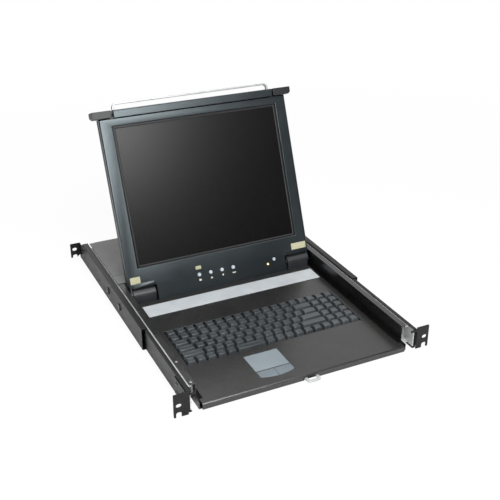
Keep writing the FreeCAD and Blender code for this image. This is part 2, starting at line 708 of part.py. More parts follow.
key_field = rect(key_left - d.key_field_margin, key_left + d.key_pitch * 18 + d.key_field_margin,
                 row_middle(0) - d.key_pitch * 0.5 - d.key_field_margin,
                 row_middle(5) + d.key_pitch * 0.5 + d.key_field_margin)


def button_outline(x0, x1, front_left, front_right, centre):
    """A touchpad button: straight at the back and sides, with its share of the bowed front edge."""
    return [(x0, front_left), Arc(d.pad_centre, centre), (x1, front_right), (x1, button_rear),
            (x0, button_rear)]


def bow(x, clear):
    """Where the bowed front edge of the buttons lies at a distance x from the touchpad's middle."""
    half = d.pad_width * 0.5
    sag = button_side - button_middle
    radius = (half * half + sag * sag) / (sag * 2)
    centre = button_middle + radius
    return centre, centre - root((radius + clear) * (radius + clear) - x * x)


def make_deck():
    body = new_body("keyboard_deck")
    pad(body, "YZ", -deck_half, deck_half, deck_section(deck_rear))
    lip_half = tray_half - d.lip_margin
    pad(body, "YZ", -lip_half, lip_half, deck_section(d.deck_front + d.lip_depth))
    for _, side in SIDES:
        edge = across(side, deck_half, deck_half - d.deck_wall)
        pad(body, "YZ", edge[0], edge[1],
            [(d.deck_front + 1, floor_top), (deck_rear - 1, floor_top),
             (deck_rear - 1, deck_height(deck_rear) - 1),
             (d.deck_front + 1, deck_height(d.deck_front) - 2)])
    pocket(body, "XY", floor_top + 1, d.deck_rear_height + 5, key_field)
    half = d.pad_width * 0.5 + d.piece_clear
    pocket(body, "XY", floor_top + 1, d.deck_rear_height + 5,
           rect(d.pad_centre - half, d.pad_centre + half, d.pad_front - d.piece_clear, pad_rear + d.piece_clear))
    centre, side_front = bow(half, d.piece_clear)
    pocket(body, "XY", floor_top + 1, d.deck_rear_height + 5,
           [(d.pad_centre - half, side_front), Arc(d.pad_centre, centre), (d.pad_centre + half, side_front),
            (d.pad_centre + half, button_rear + d.piece_clear),
            (d.pad_centre - half, button_rear + d.piece_clear)])
    room = d.pull_width * 0.5 + d.piece_clear
    pocket(body, "XZ", d.deck_front - 1, d.deck_front + d.deck_wall + 1,
           rect(d.pull_centre - room, d.pull_centre + room, d.tray_bottom - 1,
                d.pull_bottom + d.pull_sheet + d.piece_clear))


def make_key_plate():
    left, right = key_field[0][0], key_field[1][0]
    front, rear = key_field[0][1], key_field[2][1]
    body = new_body("key_plate")
    rim = d.plate_rim
    pad(body, "XY", d.plate_height, d.plate_height + d.plate_sheet,
        rect(left - rim, right + rim, front - rim, rear + rim))
    pad(body, "XY", floor_top, d.plate_height, rect(left - rim, left, front - rim, rear + rim),
        rect(right, right + rim, front - rim, rear + rim))
    half = d.key_stem * 0.5 + d.stem_clear
    pocket(body, "XY", d.plate_height - 1, d.plate_height + d.plate_sheet + 1,
           *[rect(left + 4, right - 4, row_middle(r) - half, row_middle(r) + half) for r in range(6)])


def keycap(left, row, units):
    """A tapered keycap with a square stem that runs in the plate's guide slot."""
    half_gap = d.key_gap * 0.5
    x0 = key_left + d.key_pitch * left + half_gap
    width = d.key_pitch * units - d.key_gap
    y0 = row_middle(row) - d.key_pitch * 0.5 + half_gap
    depth = d.key_pitch - d.key_gap
    top = deck_height(row_middle(row)) + d.key_rise
    cap = doc.addObject("Part::Wedge", "cap")
    # the wedge grows along its own Y, which is turned to point up
    for prop, size in (("Xmin", 0), ("Xmax", width), ("Zmin", 0), ("Zmax", depth), ("Ymin", 0),
                       ("Ymax", top - d.key_skirt), ("X2min", d.key_taper), ("X2max", width - d.key_taper),
                       ("Z2min", d.key_taper * 0.6), ("Z2max", depth - d.key_taper)):
        bind(cap, prop, size)
    cap.Placement.Rotation = FreeCAD.Rotation(V(1, 0, 0), 90)
    for letter, place in zip("xyz", (x0, y0 + depth, d.key_skirt)):
        bind(cap, f".Placement.Base.{letter}", place)
    middle = x0 + width * 0.5
    half = d.key_stem * 0.5
    stem = box(middle - half, middle + half, row_middle(row) - half, row_middle(row) + half,
               d.key_stem_bottom, d.key_skirt + 1)
    return joined([cap, stem])


KEY_ROWS = {
    "key_row_bottom": (0, [(0, 1), (1, 1), (2, 1), (3, 1), (4, 1), (8, 1), (9, 1), (10, 1), (11, 1), (12, 1),
                           (13, 1), (14, 1)]),
    "space_bar": (0, [(5, 3)]),
    "key_row_lower": (1, [(0, 2.25)] + [(2.25 + i, 1) for i in range(10)] + [(12.25, 2.75)]),
    "key_row_home": (2, [(0, 1.75)] + [(1.75 + i, 1) for i in range(11)] + [(12.75, 2.25)]),
    "key_row_upper": (3, [(0, 1.5)] + [(1.5 + i, 1) for i in range(12)] + [(13.5, 1.5)]),
    "key_row_number": (4, [(i, 1) for i in range(13)] + [(13, 2)]),
    "key_row_function": (5, [(i, 1) for i in range(15)]),
}


def make_keys():
    for label, (row, keys) in KEY_ROWS.items():
        group(label, [keycap(left, row, units) for left, units in keys])
    group("side_keys", [keycap(15 + column, row, 1) for row in range(6) for column in range(3)])


def make_touchpad():
    half = d.pad_width * 0.5
    level = deck_height(d.pad_front) - d.pad_recess
    body = new_body("touchpad")
    pad(body, "XY", level - d.pad_sheet, level,
        rect(d.pad_centre - half, d.pad_centre + half, d.pad_front, pad_rear))
    pad(body, "XY", floor_top, level - d.pad_sheet,
        rect(d.pad_centre - half + d.pad_foot, d.pad_centre + half - d.pad_foot, d.pad_front + d.pad_foot,
             pad_rear - d.pad_foot))
    low = deck_height(button_side) + d.pad_button_rise - d.pad_button_thickness
    split = d.piece_clear * 0.5
    centre, side_front = bow(half, 0)
    _, mid_front = bow(split, 0)
    left = new_body("touchpad_button_left")
    pad(left, "XY", low, low + d.pad_button_thickness,
        button_outline(d.pad_centre - half, d.pad_centre - split, side_front, mid_front, centre))
    right = new_body("touchpad_button_right")
    pad(right, "XY", low, low + d.pad_button_thickness,
        button_outline(d.pad_centre + split, d.pad_centre + half, mid_front, side_front, centre))


def make_strip():
    body = new_body("bright_strip")
    half, rear = deck_half - d.strip_margin, d.strip_front + d.strip_depth
    pad(body, "YZ", -half, half,
        [(d.strip_front, deck_height(d.strip_front)), (rear, deck_height(rear)),
         (rear, deck_height(rear) + d.strip_sheet),
         (d.strip_front, deck_height(d.strip_front) + d.strip_sheet)])


def make_pull():
    """The lower pull: a flat loop that sticks out under the front lip."""
    body = new_body("pull_tab")
    half = d.pull_width * 0.5
    front = d.deck_front - d.pull_reach
    inner = half - d.pull_band
    pad(body, "XY", d.pull_bottom, d.pull_bottom + d.pull_sheet,
        [(d.pull_centre - half, front + half * 0.5), Arc(d.pull_centre - half * 0.5, front + half * 0.5),
         (d.pull_centre - half * 0.5, front), (d.pull_centre + half * 0.5, front),
         Arc(d.pull_centre + half * 0.5, front + half * 0.5), (d.pull_centre + half, front + half * 0.5),
         (d.pull_centre + half, d.pull_rear), (d.pull_centre - half, d.pull_rear)],
        rect(d.pull_centre - inner, d.pull_centre + inner, front + d.pull_band, d.deck_front + d.deck_wall))
    pad(body, "XY", floor_top, d.pull_bottom,
        rect(d.pull_centre - half, d.pull_centre + half, d.pull_foot, d.pull_rear))


# ---------------------------------------------------------------- electronics chassis
def make_chassis():
    half = tray_face + d.tray_flange + d.cover_lap
    wall = tray_half - d.wall_clear
    body = new_body("hinge_cover")
    pad(body, "XY", d.tray_top, d.tray_top + d.cover_sheet,
        rect(-half, half, d.chassis_front, d.cover_seam - d.seam_gap))
    pad(body, "XZ", d.chassis_front, d.chassis_front + d.cover_sheet,
        rect(-wall, wall, floor_top, d.tray_top + d.cover_sheet))
    body = new_body("chassis_cover")
    rear = d.tray_rear + d.panel_sheet
    pad(body, "XY", d.tray_top, d.tray_top + d.cover_sheet, rect(-half, half, d.cover_seam, rear))
    pad(body, "XZ", rear, rear + d.cover_sheet,
        rect(-tray_half, tray_half, d.tray_top - d.cover_hem, d.tray_top + d.cover_sheet))


def port_openings(clear):
    z = d.port_centre
    openings = []
    for x, width, height in ((d.inlet_x, d.inlet_width, d.inlet_height),
                             (d.switch_x, d.switch_width, d.switch_height),
                             (d.video_x, d.video_width, d.port_height),
                             (d.data_x, d.data_width, d.port_height)):
        openings.append(rect(x - width * 0.5 - clear, x + width * 0.5 + clear, z - height * 0.5 - clear,
                             z + height * 0.5 + clear))
    return openings


def make_rear_panel():
    body = new_body("rear_panel")
    rear = d.tray_rear + d.panel_sheet
    pad(body, "XZ", d.tray_rear, rear, rect(-tray_face, tray_face, d.tray_bottom, d.tray_top))
    pocket(body, "XZ", d.tray_rear - 1, rear + 1, *port_openings(d.flange_clear))
    vents = []
    for i in range(-6, 7):
        x = d.vent_x + d.vent_pitch * i
        vents.append(rect(x - d.vent_width * 0.5, x + d.vent_width * 0.5, d.port_centre - d.vent_height * 0.5,
                          d.port_centre + d.vent_height * 0.5))
    pocket(body, "XZ", d.tray_rear - 1, rear + 1, *vents)


def make_ports():
    rear = d.tray_rear + d.panel_sheet
    z = d.port_centre
    body = new_body("power_inlet")
    half, tall, wall = d.inlet_width * 0.5, d.inlet_height * 0.5, d.inlet_wall
    left, right = d.inlet_x - half, d.inlet_x + half
    pad(body, "XZ", rear - d.inlet_depth, rear, rect(left, right, z - tall, z + tall))
    pad(body, "XZ", rear, rear + wall, rect(left - wall, right + wall, z - tall - wall, z + tall + wall))
    side, shoulder = wall + d.inlet_corner, z + d.inlet_corner - 1
    pocket(body, "XZ", rear - d.inlet_depth + d.inlet_floor, rear + wall + 1,
           [(left + wall, z - tall + wall), (right - wall, z - tall + wall), (right - wall, shoulder),
            (right - side, z + tall - wall), (left + side, z + tall - wall), (left + wall, shoulder)])
    blades = []
    for step in (-1, 0, 1):
        x, low = d.inlet_x + d.blade_pitch * step, z - d.blade_height * (0.5 if step == 0 else 1)
        blades.append(rect(x - d.blade_width * 0.5, x + d.blade_width * 0.5, low, low + d.blade_height))
    pad(body, "XZ", rear - d.inlet_depth + d.inlet_floor - 1, rear - d.blade_recess, *blades)
    solids = []
    wall = d.port_wall
    for x, width in ((d.video_x, d.video_width), (d.data_x, d.data_width)):
        half, tall = width * 0.5, d.port_height * 0.5
        shell = box(x - half, x + half, rear - d.port_depth, rear + wall, z - tall, z + tall)
        hollow = box(x - half + wall, x + half - wall, rear - d.port_depth + wall * 3, rear + wall * 2,
                     z - tall + wall, z + tall - wall)
        tongue = box(x - half + wall * 3, x + half - wall * 3, rear - d.port_depth + wall * 2,
                     rear - wall * 5, z - wall * 1.5, z + wall * 1.5)
        solids.append(joined([cut(shell, [hollow]), tongue]))
    half, tall, wall = d.switch_width * 0.5, d.switch_height * 0.5, d.switch_wall
    frame = box(d.switch_x - half, d.switch_x + half, rear - d.port_depth, rear + d.port_wall,
                z - tall, z + tall)
    room = box(d.switch_x - half + wall, d.switch_x + half - wall, rear - d.port_depth + wall,
               rear + wall * 2, z - tall + wall, z + tall - wall)
    group("rear_ports", solids + [cut(frame, [room])])
    body = new_body("power_switch")
    half = half - wall - d.piece_clear
    reach = tall - wall - d.piece_clear - d.rocker_clear
    low, high = rear + d.rocker_low, rear + d.rocker_high
    pad(body, "YZ", d.switch_x - half, d.switch_x + half,
        [(rear - d.rocker_depth, z - d.rocker_root), (rear - d.rocker_depth, z + d.rocker_root),
         (low - d.rocker_edge, z + reach - d.rocker_trim), (low, z + reach), (rear - d.rocker_dip, z),
         (high, z - reach), (high - d.rocker_edge, z - reach)])


def posts(axis, low, high, places):
    """Square posts of one length at several places."""
    half = d.post_width * 0.5
    made = []
    for a, b in places:
        if axis == "Z":
            made.append(box(a - half, a + half, b - half, b + half, low, high))
        else:
            made.append(box(a - half, a + half, low, high, b - half, b + half))
    return made


# parts on the main board: their share of the way across it and along it, then width, depth and height
CHIPS = [(0.3, 0.5, 34, 34, 8), (0.62, 0.35, 22, 16, 10), (0.6, 0.72, 30, 12, 6)]


def make_electronics():
    """Power supply box and main board on its posts, as such a chassis holds them."""
    right = tray_half - d.supply_margin
    supply = box(right - d.supply_width, right, d.supply_front, d.supply_rear, floor_top, d.tray_top - d.cover_hem)
    single("power_supply", supply)
    left, right = -tray_half + d.board_margin, right - d.supply_width - d.board_margin
    front, rear = d.chassis_front + d.board_margin, d.tray_rear - d.port_depth - 1
    level = floor_top + d.board_lift
    inset = d.post_width
    parts = [box(left, right, front, rear, level, level + d.board_sheet)]
    parts += posts("Z", floor_top, level, [(x, y) for x in (left + inset, right - inset)
                                           for y in (front + inset, rear - inset)])
    for across_x, along_y, wide, deep, tall in CHIPS:
        x = left + (right - left) * across_x
        y = front + (rear - front) * along_y
        parts.append(box(x - wide / 2, x + wide / 2, y - deep / 2, y + deep / 2, level + 1,
                         level + d.board_sheet + tall))
    single("main_board", joined(parts))


# ---------------------------------------------------------------- display hinge
def make_hinge_block(name, side):
    body = new_body(f"hinge_block_{name}")
    r = d.hinge_radius
    edge = across(side, block_inner, block_outer)
    pad(body, "YZ", edge[0], edge[1],
        [(d.hinge_y - r, floor_top), (d.hinge_y + r, floor_top), (d.hinge_y + r, d.hinge_height),
         Arc(d.hinge_y, d.hinge_height), (d.hinge_y - r, d.hinge_height)],
        Circle(d.hinge_y, d.hinge_height, d.pin_radius + d.pin_clear))


def make_hinge_arm(name, side):
    """The hinge pin, the arm that carries it and the foot that screws to the lid's rear cover."""
    body = new_body(f"hinge_arm_{name}", in_the_lid)
    back = d.lid_back - d.lid_wall
    arm = across(side, arm_inner, arm_inner + d.arm_sheet)
    r = d.arm_radius
    neck = d.lid_face - d.bezel_wall - d.piece_clear
    heel = lid_heel + d.lid_wall + 1
    top = lid_heel + d.arm_length
    pad(body, "YZ", arm[0], arm[1],
        [(r, zero), (r, heel), (back, heel), (back, top), (-neck, top),
         (-neck, root(r * r - neck * neck)), Arc(zero, zero)])
    pin = across(side, block_inner - d.pin_end, arm_inner + 1)
    pad(body, "YZ", pin[0], pin[1], Circle(zero, zero, d.pin_radius))
    foot = across(side, arm_inner + d.arm_sheet, arm_inner + d.arm_sheet - d.foot_width)
    pad(body, "XZ", back - d.foot_sheet, back, rect(foot[0], foot[1], heel, top))


# ---------------------------------------------------------------- display lid
def drop(radius, y):
    """Height of the chin's round underside below the hinge axis, at a depth y."""
    return -root(radius * radius - y * y)


def arm_slots():
    """Where the hinge arms pass through the lid's lower corners."""
    loops = []
    for _, side in SIDES:
        edge = across(side, arm_inner - d.piece_clear, arm_inner + d.arm_sheet + d.piece_clear)
        loops.append(rect(edge[0], edge[1], lid_heel - 1, lid_heel + d.lid_wall + 0.5))
    return loops


def osd_x(index):
    return d.osd_first + d.osd_pitch * index


def make_bezel():
    body = new_body("lid_bezel", in_the_lid)
    face, split, wall, radius = -d.lid_face, d.lid_split, d.lid_wall, d.chin_radius
    pad(body, "XZ", face, split, rect(-lid_half, lid_half, lid_heel, lid_top))
    pad(body, "YZ", -chin_half, chin_half,
        [(face, lid_heel + 5), (face, drop(radius, face)), Arc(zero, zero), (split, drop(radius, split)),
         (split, lid_heel + 5)])
    round_edges(body, d.lid_corner, lambda p: near(p.y, face) and (
        near(abs(p.x), lid_half) or near(p.z, lid_top)))
    caps = [across(side, block_inner, block_outer) for _, side in SIDES]
    pad(body, "XZ", face - d.cap_rise, face + 1,
        *[rect(cap[0], cap[1], lid_heel, lid_heel + d.cap_height) for cap in caps])
    inner = face + d.bezel_wall
    pocket(body, "XZ", inner, split + 1,
           rect(-(lid_half - wall), lid_half - wall, lid_heel + wall, lid_top - wall))
    pocket(body, "YZ", -(chin_half - wall), chin_half - wall,
           [(inner, lid_heel + wall + 1), (inner, drop(radius - wall, inner)), Arc(zero, zero),
            (split + 0.5, drop(radius - wall, split + 0.5)), (split + 0.5, lid_heel + wall + 1)])
    pocket(body, "XZ", face - 1, inner + 1, rect(-screen_half, screen_half, d.screen_bottom, screen_top))
    round_edges(body, d.screen_bevel, lambda p: near(p.y, face) and within(p.x, -screen_half, screen_half)
                and within(p.z, d.screen_bottom, screen_top), "Chamfer")
    holes = []
    for i in range(4):
        holes.append(octagon(osd_x(i), d.osd_line, d.osd_dia * 0.5 + d.piece_clear))
    holes.append(octagon(d.lamp_x, d.lamp_line, d.lamp_dia * 0.5 + d.flange_clear))
    half = d.display_switch_dia * 0.5 + d.piece_clear
    holes.append(octagon(d.display_switch_x, d.display_switch_line, half))
    pocket(body, "XZ", face - 1, inner + 1, *holes)
    pocket(body, "XZ", inner, split + 1, *arm_slots())


def make_rear_cover():
    body = new_body("lid_rear_cover", in_the_lid)
    split, back, wall, radius = d.lid_split, d.lid_back, d.lid_wall, d.chin_radius
    pad(body, "XZ", split, back, rect(-lid_half, lid_half, lid_heel, lid_top))
    pad(body, "YZ", -chin_half, chin_half,
        [(split, lid_heel + 5), (split, drop(radius, split)), Arc(zero, zero), (back, drop(radius, back)),
         (back, lid_heel + 5)])
    round_edges(body, d.lid_corner, lambda p: near(p.y, back) and (
        near(abs(p.x), lid_half) or near(p.z, lid_top)))
    pocket(body, "XZ", split - 1, back - wall,
           rect(-(lid_half - wall), lid_half - wall, lid_heel + wall, lid_top - wall))
    pocket(body, "YZ", -(chin_half - wall), chin_half - wall,
           [(split - 0.5, lid_heel + wall + 1), (split - 0.5, drop(radius - wall, split - 0.5)), Arc(zero, zero),
            (back - wall, drop(radius - wall, back - wall)), (back - wall, lid_heel + wall + 1)])
    pocket(body, "XZ", split - 1, back - wall, *arm_slots())


def make_lcd():
    body = new_body("lcd_panel", in_the_lid)
    front = -d.lid_face + d.bezel_wall
    half = screen_half + d.lcd_margin
    pad(body, "XZ", front, front + d.lcd_depth,
        rect(-half, half, d.screen_bottom - d.lcd_lap, screen_top + d.lcd_lap))
    parts = [box(-d.board_half, d.board_half, d.board_face, d.board_face + d.board_sheet,
                 d.board_bottom, d.board_top)]
    inset = d.post_width
    parts += posts("Y", d.board_face, d.lid_back - d.lid_wall,
                   [(x, z) for x in (-d.board_half + inset, d.board_half - inset)
                    for z in (d.board_bottom + inset, d.board_top - inset)])
    single("display_board", joined(parts), in_the_lid)


tongue_middle = (d.bar_back - d.catch_face) * 0.5
catch_bottom = bar_top - d.catch_height
catch_outer = rail_inner - d.keeper_reach + d.catch_lap


def make_front_bar():
    """The bar that closes the front of the unit when the lid is down, with a pocket at each end."""
    body = new_body("lid_front_bar", in_the_lid)
    pad(body, "YZ", -bar_half, bar_half,
        [(-d.bar_face, lid_top), (d.bar_back, lid_top), (d.bar_back, bar_top - d.bar_round),
         Arc(d.bar_back - d.bar_round, bar_top - d.bar_round), (d.bar_back - d.bar_round, bar_top),
         (-d.bar_face + d.bar_round, bar_top), Arc(-d.bar_face + d.bar_round, bar_top - d.bar_round),
         (-d.bar_face, bar_top - d.bar_round)])
    for _, side in SIDES:
        depth = d.catch_tongue - d.catch_gap + d.catch_travel_room
        edge = across(side, bar_half - depth, bar_half + 1)
        half, low = d.tongue_half + d.piece_clear, catch_bottom + d.tongue_rise
        pocket(body, "YZ", edge[0], edge[1],
               rect(tongue_middle - half, tongue_middle + half, low - d.piece_clear,
                    low + d.tongue_height + d.piece_clear))


def make_catch(name, side):
    """A release catch: a thumb block whose tongue slides in the bar's end pocket."""
    body = new_body(f"catch_{name}", in_the_lid)
    start = bar_half + d.catch_gap
    edge = across(side, start, catch_outer)
    pad(body, "YZ", edge[0], edge[1], rect(-d.catch_face, d.bar_back, catch_bottom, bar_top))
    round_edges(body, d.catch_chamfer,
                lambda p: near(abs(p.x), catch_outer) and near(p.z, catch_bottom), "Chamfer")
    tongue = across(side, start + 1, start - d.catch_tongue)
    low = catch_bottom + d.tongue_rise
    pad(body, "YZ", tongue[0], tongue[1],
        rect(tongue_middle - d.tongue_half, tongue_middle + d.tongue_half, low, low + d.tongue_height))


def make_handle():
    """The pull handle: a flat bar bent to a long U that stands off the front bar."""
    body = new_body("lid_handle", in_the_lid)
    half, top, foot = bar_half - d.handle_margin, bar_top + d.handle_rise, bar_top
    sheet, bend = d.handle_sheet, d.handle_bend
    pad(body, "XZ", d.handle_back - d.handle_depth, d.handle_back + zero,
        [(-half, foot), (-(half - sheet), foot), (-(half - sheet), top - bend),
         Arc(-(half - bend), top - bend, True), (-(half - bend), top - sheet), (half - bend, top - sheet),
         Arc(half - bend, top - bend, True), (half - sheet, top - bend), (half - sheet, foot), (half, foot),
         (half, top - bend), Arc(half - bend, top - bend), (half - bend, top), (-(half - bend), top),
         Arc(-(half - bend), top - bend), (-half, top - bend)])


def make_lid_controls():
    """Push buttons and a lamp in the chin, each with a flange behind the bezel that keeps it in."""
    face = -d.lid_face
    inner = face + d.bezel_wall
    buttons = [(f"osd_button_{i + 1}", osd_x(i), d.osd_line, d.osd_dia) for i in range(4)]
    buttons.append(("display_switch", d.display_switch_x, d.display_switch_line, d.display_switch_dia))
    for label, x, line, dia in buttons:
        body = new_body(label, in_the_lid)
        flange = inner + d.flange_clear
        pad(body, "XZ", face - d.button_proud, face + d.button_depth, octagon(x, line, dia * 0.5))
        pad(body, "XZ", flange, flange + d.flange_sheet, octagon(x, line, dia * 0.5 + d.button_flange))
    body = new_body("status_lamp", in_the_lid)
    half = d.lamp_dia * 0.5
    pad(body, "XZ", face - d.button_proud * 0.5, face + d.button_depth, octagon(d.lamp_x, d.lamp_line, half))
    pad(body, "XZ", inner, inner + d.flange_sheet, octagon(d.lamp_x, d.lamp_line, half + d.button_flange))


def make_corner_pads():
    face = -d.lid_face
    low, high = d.corner_pad_line - d.corner_pad_height * 0.5, d.corner_pad_line + d.corner_pad_height * 0.5
    outer = lid_half - d.corner_pad_edge
    left = box(-outer, -outer + d.left_pad_width, face - d.corner_pad_sheet, face, low, high)
    right = box(outer - d.right_pad_width, outer, face - d.corner_pad_sheet, face, low, high)
    group("corner_pads", [left, right], in_the_lid)


# ---------------------------------------------------------------- build
for name, side in SIDES:
    make_rail(name, side)
    make_front_ear(name, side)
    make_rear_bracket(name, side)
    make_clamp(name, side)
    make_slide(name, side)
    make_hinge_block(name, side)
    make_hinge_arm(name, side)
    make_catch(name, side)
make_spacers()
make_cages("outer_ball_cages", outer_ball_x, outer_ball)
make_cages("inner_ball_cages", inner_ball_x, inner_ball)
make_tray()
make_deck()
make_key_plate()
make_keys()
make_touchpad()
make_strip()
make_pull()
make_chassis()
make_rear_panel()
make_ports()
make_electronics()
make_bezel()
make_rear_cover()
make_lcd()
make_front_bar()
make_handle()
make_lid_controls()
make_corner_pads()
doc.recompute()

# ---------------------------------------------------------------- check and write
for item in doc.Objects:
    if "Invalid" in item.State or "Error" in item.State:
        raise RuntimeError(f"{item.Label} failed: {item.State}")
os.makedirs("parts", exist_ok=True)
for piece in pieces:
    shape = piece.Shape
    if shape.isNull() or not shape.isValid() or not shape.Solids:
        raise RuntimeError(f"{piece.Label} has no valid solid")
    shape.exportStep(f"parts/{piece.Label}.step")
print(f"wrote {len(pieces)} sub-parts, {sum(len(p.Shape.Solids) for p in pieces)} solids")
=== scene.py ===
import json
import math
import bmesh
import bpy
from mathutils import Matrix, Vector

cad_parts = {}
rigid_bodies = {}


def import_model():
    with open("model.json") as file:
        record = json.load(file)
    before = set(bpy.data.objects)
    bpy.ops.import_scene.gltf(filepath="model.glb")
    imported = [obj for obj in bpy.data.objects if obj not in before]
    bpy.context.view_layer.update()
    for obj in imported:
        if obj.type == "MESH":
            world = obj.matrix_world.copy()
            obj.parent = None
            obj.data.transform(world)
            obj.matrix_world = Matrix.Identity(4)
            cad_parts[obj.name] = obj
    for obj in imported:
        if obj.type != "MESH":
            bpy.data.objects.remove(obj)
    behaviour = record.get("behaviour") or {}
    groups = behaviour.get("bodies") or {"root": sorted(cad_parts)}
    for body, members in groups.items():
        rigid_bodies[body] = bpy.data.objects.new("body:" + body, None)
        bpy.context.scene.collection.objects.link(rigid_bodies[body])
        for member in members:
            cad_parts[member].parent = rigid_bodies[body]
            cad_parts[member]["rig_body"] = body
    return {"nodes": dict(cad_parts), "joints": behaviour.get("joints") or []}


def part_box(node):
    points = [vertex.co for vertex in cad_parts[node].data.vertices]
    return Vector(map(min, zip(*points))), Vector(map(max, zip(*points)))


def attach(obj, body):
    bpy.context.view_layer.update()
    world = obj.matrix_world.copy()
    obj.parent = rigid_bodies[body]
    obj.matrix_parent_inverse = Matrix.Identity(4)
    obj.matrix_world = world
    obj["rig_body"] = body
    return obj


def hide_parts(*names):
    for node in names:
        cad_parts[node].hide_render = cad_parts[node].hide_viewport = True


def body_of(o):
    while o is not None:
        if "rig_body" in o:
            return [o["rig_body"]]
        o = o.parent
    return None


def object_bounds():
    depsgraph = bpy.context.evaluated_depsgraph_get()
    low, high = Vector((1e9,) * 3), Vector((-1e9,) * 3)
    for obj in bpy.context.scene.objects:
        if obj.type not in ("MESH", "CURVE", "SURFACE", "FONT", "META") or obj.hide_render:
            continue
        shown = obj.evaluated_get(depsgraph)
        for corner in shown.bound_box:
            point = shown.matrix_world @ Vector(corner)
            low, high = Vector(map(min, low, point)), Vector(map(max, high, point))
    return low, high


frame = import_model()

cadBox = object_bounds()
nodes = frame["nodes"]
hinge = next(joint for joint in frame["joints"] if joint["name"] == "lid_hinge")
hingePlace = Vector(hinge["pos_m"])
millimetre = 0.001
lidTilt = 21.65  # degrees that the open lid leans back from upright
lidTurn = Matrix.Rotation(math.radians(-lidTilt), 3, "X")
backward = (0, 1, 0)
upward = (0, 0, 1)
white = (1.0, 1.0, 1.0, 1.0)


def lidPoint(x, depth, height):
    # from the lid's own measures (across, back, up from the hinge) to the frame, in metres
    return hingePlace + lidTurn @ (Vector((x, depth, height)) * millimetre)


def lidBox(node):
    # the low and high corners of a lid piece in the lid's own measures
    upright = lidTurn.inverted()
    points = [upright @ (vertex.co - hingePlace) / millimetre for vertex in nodes[node].data.vertices]
    return [Vector([pick(point[i] for point in points) for i in range(3)]) for pick in (min, max)]


def unitBox(node):
    # the low and high corners of a piece's box, in millimetres
    return [Vector(corner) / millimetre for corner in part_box(node)]


# millimetres that each face of the lid lies behind the hinge; the corner pads sit on the bezel's face
lidFaces = {"bezel": lidBox("corner_pads")[1].y, "panel": lidBox("lcd_panel")[0].y,
            "rear": lidBox("lid_rear_cover")[1].y}


def meshPiece(name, bm, material, smoothAngle=35):
    bmesh.ops.recalc_face_normals(bm, faces=bm.faces)
    mesh = bpy.data.meshes.new(name)
    bm.to_mesh(mesh)
    bm.free()
    piece = bpy.data.objects.new(name, mesh)
    bpy.context.collection.objects.link(piece)
    mesh.materials.append(material)
    mesh.shade_smooth()
    mesh.set_sharp_from_angle(angle=math.radians(smoothAngle))
    return piece


def plainMesh(piece):
    # turns a piece with modifiers into its finished mesh
    depsgraph = bpy.context.evaluated_depsgraph_get()
    mesh = bpy.data.meshes.new_from_object(piece.evaluated_get(depsgraph), depsgraph=depsgraph)
    piece.modifiers.clear()
    piece.data = mesh


def standFor(piece, node):
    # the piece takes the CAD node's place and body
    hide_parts(node)
    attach(piece, body_of(nodes[node])[0])


def rideLid(piece):
    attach(piece, "lid")


def loopOf(bm, points):
    return [bm.verts.new(point) for point in points]


def bridge(bm, first, second):
    count = len(first)
    for i in range(count):
        bm.faces.new((first[i], first[(i + 1) % count], second[(i + 1) % count], second[i]))


def closedStack(bm, loops):
    # a solid through a row of loops, closed at both ends
    for lower, upper in zip(loops, loops[1:]):
        bridge(bm, lower, upper)
    bm.faces.new(loops[0][::-1])
    bm.faces.new(loops[-1])


def roundedLoop(width, depth, radius):
    # the outline of a rectangle with round corners, anticlockwise about its middle
    steps = 4  # flats in each corner
    points = []
    for sx, sy, start in ((1, -1, -90), (1, 1, 0), (-1, 1, 90), (-1, -1, 180)):
        cx, cy = sx * (width / 2 - radius), sy * (depth / 2 - radius)
        for step in range(steps + 1):
            angle = math.radians(start + 90 * step / steps)
            points.append((cx + radius * math.cos(angle), cy + radius * math.sin(angle)))
    return points


